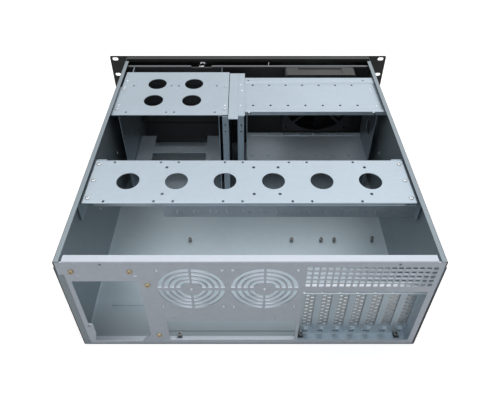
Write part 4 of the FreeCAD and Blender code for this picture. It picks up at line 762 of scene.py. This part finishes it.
def cut(mesh: bpy.types.Mesh, cutter: bpy.types.Mesh) -> bpy.types.Mesh:
    """Takes one closed mesh out of another.

    Args:
        mesh: what is cut.
        cutter: what is taken away.

    Returns:
        A new mesh.

    Raises:
        ValueError: the cut left nothing.
    """
    scene = bpy.context.scene.collection
    target = bpy.data.objects.new("cut_target", mesh)
    tool = bpy.data.objects.new("cut_tool", cutter)
    scene.objects.link(target)
    scene.objects.link(tool)
    boolean = target.modifiers.new("cut", "BOOLEAN")
    boolean.operation = "DIFFERENCE"
    boolean.solver = "EXACT"
    boolean.use_self = True
    boolean.object = tool
    graph = bpy.context.evaluated_depsgraph_get()
    result = bpy.data.meshes.new_from_object(target.evaluated_get(graph))
    bpy.data.objects.remove(target)
    bpy.data.objects.remove(tool)
    if not result.polygons:
        raise ValueError("the cut left nothing")
    return result


@dataclass
class CrossScrews:
    """Pan-head screws with a cross recess, one set per CAD node.

    Attributes:
        node: the CAD node they replace.
        axis: the way their heads face.
        finish: their finish.
        slot: the record's material slot; not used.
        head_share: share of the solid's length that is head.
        steps: faces round each head.
        body: the body that they ride on.
    """

    node: str
    axis: Vector
    finish: Finish
    slot: Slot
    head_share: float
    steps: int = 20
    body: Body = Body.CASE

    def template(self, radius: float, length: float) -> bpy.types.Mesh:
        """One screw along +Z with its head's top at zero.

        Args:
            radius: of the head.
            length: of head and shank.

        Returns:
            The mesh.
        """
        head = length * self.head_share
        shank = radius * SHANK_SHARE
        profile = [(0.0, -length), (shank * TIP_TAPER, -length), (shank, -length + shank * TIP_LENGTH),
                   (shank, -head)]
        profile += [(radius * wide, -head * low) for wide, low in HEAD_PROFILE]
        profile.append((0.0, 0.0))
        bm = turned(profile, self.steps)
        recess = bmesh.new()
        wing, half, depth = radius * RECESS_WING, radius * RECESS_HALF, head * RECESS_DEPTH
        for turn in (0.0, math.pi / 2):
            made = bmesh.ops.create_cube(recess, size=1.0)
            bmesh.ops.scale(recess, verts=made["verts"], vec=(wing * 2, half * 2, depth * 2))
            low = [vertex for vertex in made["verts"] if vertex.co.z < 0]
            bmesh.ops.scale(recess, verts=low, vec=RECESS_TAPER)
            bmesh.ops.rotate(recess, verts=made["verts"], matrix=Matrix.Rotation(turn + RECESS_TURN, 3, "Z"))
        return cut(mesh_of(bm, "screw_blank"), mesh_of(recess, "screw_recess"))

    def build(self) -> bpy.types.Object:
        """Makes the set and lets it replace its CAD node."""
        axis = self.axis.normalized()
        lead = max(range(3), key=lambda part: abs(axis[part]))
        turn = Vector((0.0, 0.0, 1.0)).rotation_difference(axis).to_matrix().to_4x4()
        bm = bmesh.new()
        cache: dict[tuple[float, float], bpy.types.Mesh] = {}
        for number, (low, high) in enumerate(islands(self.node)):
            size = high - low
            radius = min(size[part] for part in range(3) if part != lead) / 2
            key = (round(radius, 5), round(size[lead], 5))
            if key not in cache:
                cache[key] = self.template(*key)
            middle = (low + high) / 2
            middle[lead] = high[lead] if axis[lead] > 0 else low[lead]
            spin = Matrix.Rotation(number * SCREW_SPIN, 4, "Z")
            stamp(bm, cache[key], Matrix.Translation(middle) @ turn @ spin)
        made = piece(f"{self.node}_detail", mesh_of(bm, self.node), self.body, self.finish)
        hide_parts(self.node)
        return made


@dataclass
class Rivets:
    """Low domed rivets and clinch points on sheet that faces up.

    Attributes:
        name: the piece's name.
        places: (x, y) of each, in metres.
        level: height of the sheet's upper face.
        radius: of the dome.
        rise: height of the dome.
    """

    name: str
    places: tuple[tuple[float, float], ...]
    level: float
    radius: float = 0.0017
    rise: float = 0.0006

    def build(self) -> bpy.types.Object:
        """Makes the group."""
        bm = bmesh.new()
        profile = [(self.radius * wide, self.rise * high) for wide, high in DOME_PROFILE]
        one = mesh_of(turned(profile, DOME_STEPS), "rivet")
        for x, y in self.places:
            stamp(bm, one, Matrix.Translation((x, y, self.level)))
        return piece(self.name, mesh_of(bm, self.name), Body.CASE, RIVET)


@dataclass
class LipScrews:
    """Cross-head screws through the rear lip of the upper tray, facing the back.

    Attributes:
        places: (x, z) of each, in metres.
        radius: of the heads.
        length: of head and shank.
    """

    places: tuple[tuple[float, float], ...] = ((-0.0009, 0.1680), (-0.1895, 0.1680))
    radius: float = 0.0028
    length: float = 0.0052

    def build(self) -> bpy.types.Object:
        """Makes the pair."""
        pattern = CrossScrews("cage_screws", Vector((0.0, 1.0, 0.0)), SCREW, Slot.SCREW, 0.35)
        one = pattern.template(self.radius, self.length)
        turn = Matrix.Rotation(-math.pi / 2, 4, "X")
        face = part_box("upper_tray")[1].y + self.length * pattern.head_share
        bm = bmesh.new()
        for number, (x, z) in enumerate(self.places):
            spin = Matrix.Rotation(number * LIP_SPIN, 4, "Z")
            stamp(bm, one, Matrix.Translation((x, face, z)) @ turn @ spin)
        return piece("tray_lip_screws", mesh_of(bm, "tray_lip_screws"), Body.CASE, SCREW)


# ------------------------------------------------------------------ studio
@dataclass
class Studio:
    """Floor, world, lamps and camera.

    Attributes:
        lens: focal length in millimetres on a 36 mm sensor.
        eye: the camera's place.
        tilt: angle of the view below the horizon, in degrees.
        shift: the sensor's shift in x and y.
        floor_size: side of the floor in metres.
        floor_colour: diffuse colour of the floor.
        floor_glow: what the floor adds for the eye alone.
        dome: strength of the world for diffuse light.
        lamps: name, place, aim, size in metres and power in watts of each lamp.
    """

    lens: float = 35.0
    eye: Point = (0.005729, 0.529464, 0.609856)
    tilt: float = 39.4349
    shift: tuple[float, float] = (0.01058, -0.1305)
    floor_size: float = 40.0
    floor_colour: Colour = (0.82, 0.82, 0.82)
    floor_glow: float = 0.55
    dome: float = 0.42
    lamps: tuple[tuple[str, Point, Point, float, float], ...] = field(default=(
        ("overhead", (0.0, -0.25, 2.4), (0.0, 0.0, 0.0), 3.2, 30.0),
        ("behind_camera", (0.6, 2.2, 1.5), (0.0, 0.1, 0.05), 1.6, 5.0),
        ("front_fill", (-1.0, -2.4, 1.6), (0.0, 0.0, 0.1), 1.8, 5.0),
    ))

    def make_camera(self) -> None:
        """Puts the camera at its place."""
        camera = bpy.data.cameras.new("camera")
        camera.lens = self.lens
        camera.sensor_width = 36.0
        camera.shift_x, camera.shift_y = self.shift
        camera.clip_start = 0.01
        holder = bpy.data.objects.new("camera", camera)
        holder.location = self.eye
        holder.rotation_euler = (math.radians(90.0 - self.tilt), 0.0, math.pi)
        bpy.context.scene.collection.objects.link(holder)
        bpy.context.scene.camera = holder

    def seen(self, bench: ShaderBench) -> Wire:
        """1 for rays of the camera, of reflections and through clear pieces."""
        path = bench.add("ShaderNodeLightPath")
        seen = path.out("Is Camera Ray").biggest(path.out("Is Glossy Ray"))
        return seen.biggest(path.out("Is Transmission Ray"))

    def make_world(self) -> None:
        """White to the eye, softer as a light."""
        world = bpy.data.worlds.new("studio")
        world.use_nodes = True
        bench = ShaderBench(world.node_tree)
        strength = self.dome + self.seen(bench) * (1.0 - self.dome)
        sky = bench.add("ShaderNodeBackground", {}, {"Color": (1.0, 1.0, 1.0), "Strength": strength})
        bench.add("ShaderNodeOutputWorld", {}, {"Surface": sky.out("Background")})
        bpy.context.scene.world = world

    def make_floor(self) -> None:
        """A pale floor that keeps the case's shadow."""
        material = bpy.data.materials.new("studio_floor")
        material.use_nodes = True
        bench = ShaderBench(material.node_tree)
        path = bench.add("ShaderNodeLightPath")
        fine = bench.noise(bench.place(), 300.0, 2.0)
        sockets = {
            "Base Color": bench.mix(self.floor_colour, (0.84, 0.84, 0.84), fine),
            "Roughness": 0.9,
            "Emission Color": (1.0, 1.0, 1.0),
            "Emission Strength": path.out("Is Camera Ray") * self.floor_glow,
        }
        shader = bench.add("ShaderNodeBsdfPrincipled", {}, sockets)
        bench.add("ShaderNodeOutputMaterial", {}, {"Surface": shader.out("BSDF")})
        bm = bmesh.new()
        bmesh.ops.create_grid(bm, x_segments=1, y_segments=1, size=self.floor_size / 2)
        bmesh.ops.translate(bm, verts=bm.verts, vec=(0.0, 0.0, CAD_LOW.z))
        mesh = bpy.data.meshes.new("studio_floor")
        bm.to_mesh(mesh)
        bm.free()
        mesh.materials.append(material)
        floor = bpy.data.objects.new("studio_floor", mesh)
        bpy.context.scene.collection.objects.link(floor)

    def make_lamps(self) -> None:
        """Large soft lamps."""
        for name, place, aim, size, power in self.lamps:
            lamp = bpy.data.lights.new(name, "AREA")
            lamp.shape = "SQUARE"
            lamp.size = size
            lamp.energy = power
            holder = bpy.data.objects.new(name, lamp)
            holder.location = place
            toward = Vector(aim) - Vector(place)
            holder.rotation_euler = toward.to_track_quat("-Z", "Y").to_euler()
            bpy.context.scene.collection.objects.link(holder)

    def build(self) -> None:
        """Makes the whole studio."""
        self.make_camera()
        self.make_world()
        self.make_floor()
        self.make_lamps()
        bpy.context.scene.view_settings.view_transform = "Standard"


def screw_sets() -> Iterable[CrossScrews]:
    """The case's groups of screws."""
    up, back, ahead = Vector((0.0, 0.0, 1.0)), Vector((0.0, 1.0, 0.0)), Vector((0.0, -1.0, 0.0))
    yield CrossScrews("brace_screws", up, SCREW, Slot.SCREW, 0.45)
    yield CrossScrews("cage_screws", up, SCREW, Slot.SCREW, 0.45)
    yield CrossScrews("slot_screws", up, SCREW, Slot.SCREW, 0.45)
    yield CrossScrews("rear_screws", back, YELLOW, Slot.SCREW, 0.45)
    yield CrossScrews("front_fan_screws", ahead, SCREW, Slot.SCREW, 0.3)
    yield CrossScrews("handle_screws", ahead, PAINT, Slot.BLACK, 0.4)


def rivet_groups() -> Iterable[Rivets]:
    """The case's rivets and clinch points."""
    yield Rivets("cage_rivets", ((0.0362, -0.0742), (0.1990, -0.0755), (0.1993, -0.1246),
                                 (0.1980, -0.1428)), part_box("bay_cage_top")[1].z)
    yield Rivets("channel_rivets", ((0.0117, -0.1316), (0.0101, -0.1149), (0.0122, -0.0745)),
                 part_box("channel_top")[1].z)
    yield Rivets("tray_rivets", ((-0.1963, -0.1211), (-0.1974, -0.1146), (-0.1973, -0.0760)),
                 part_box("upper_tray")[1].z - TRAY_STEP)


def main() -> None:
    """Builds the scene in order."""
    logging.basicConfig(level=logging.INFO, format="%(message)s")
    Studio().build()
    dress_nodes()
    for group in screw_sets():
        group.build()
    for group in rivet_groups():
        group.build()
    LipScrews().build()


if __name__ == "__main__":
    main()
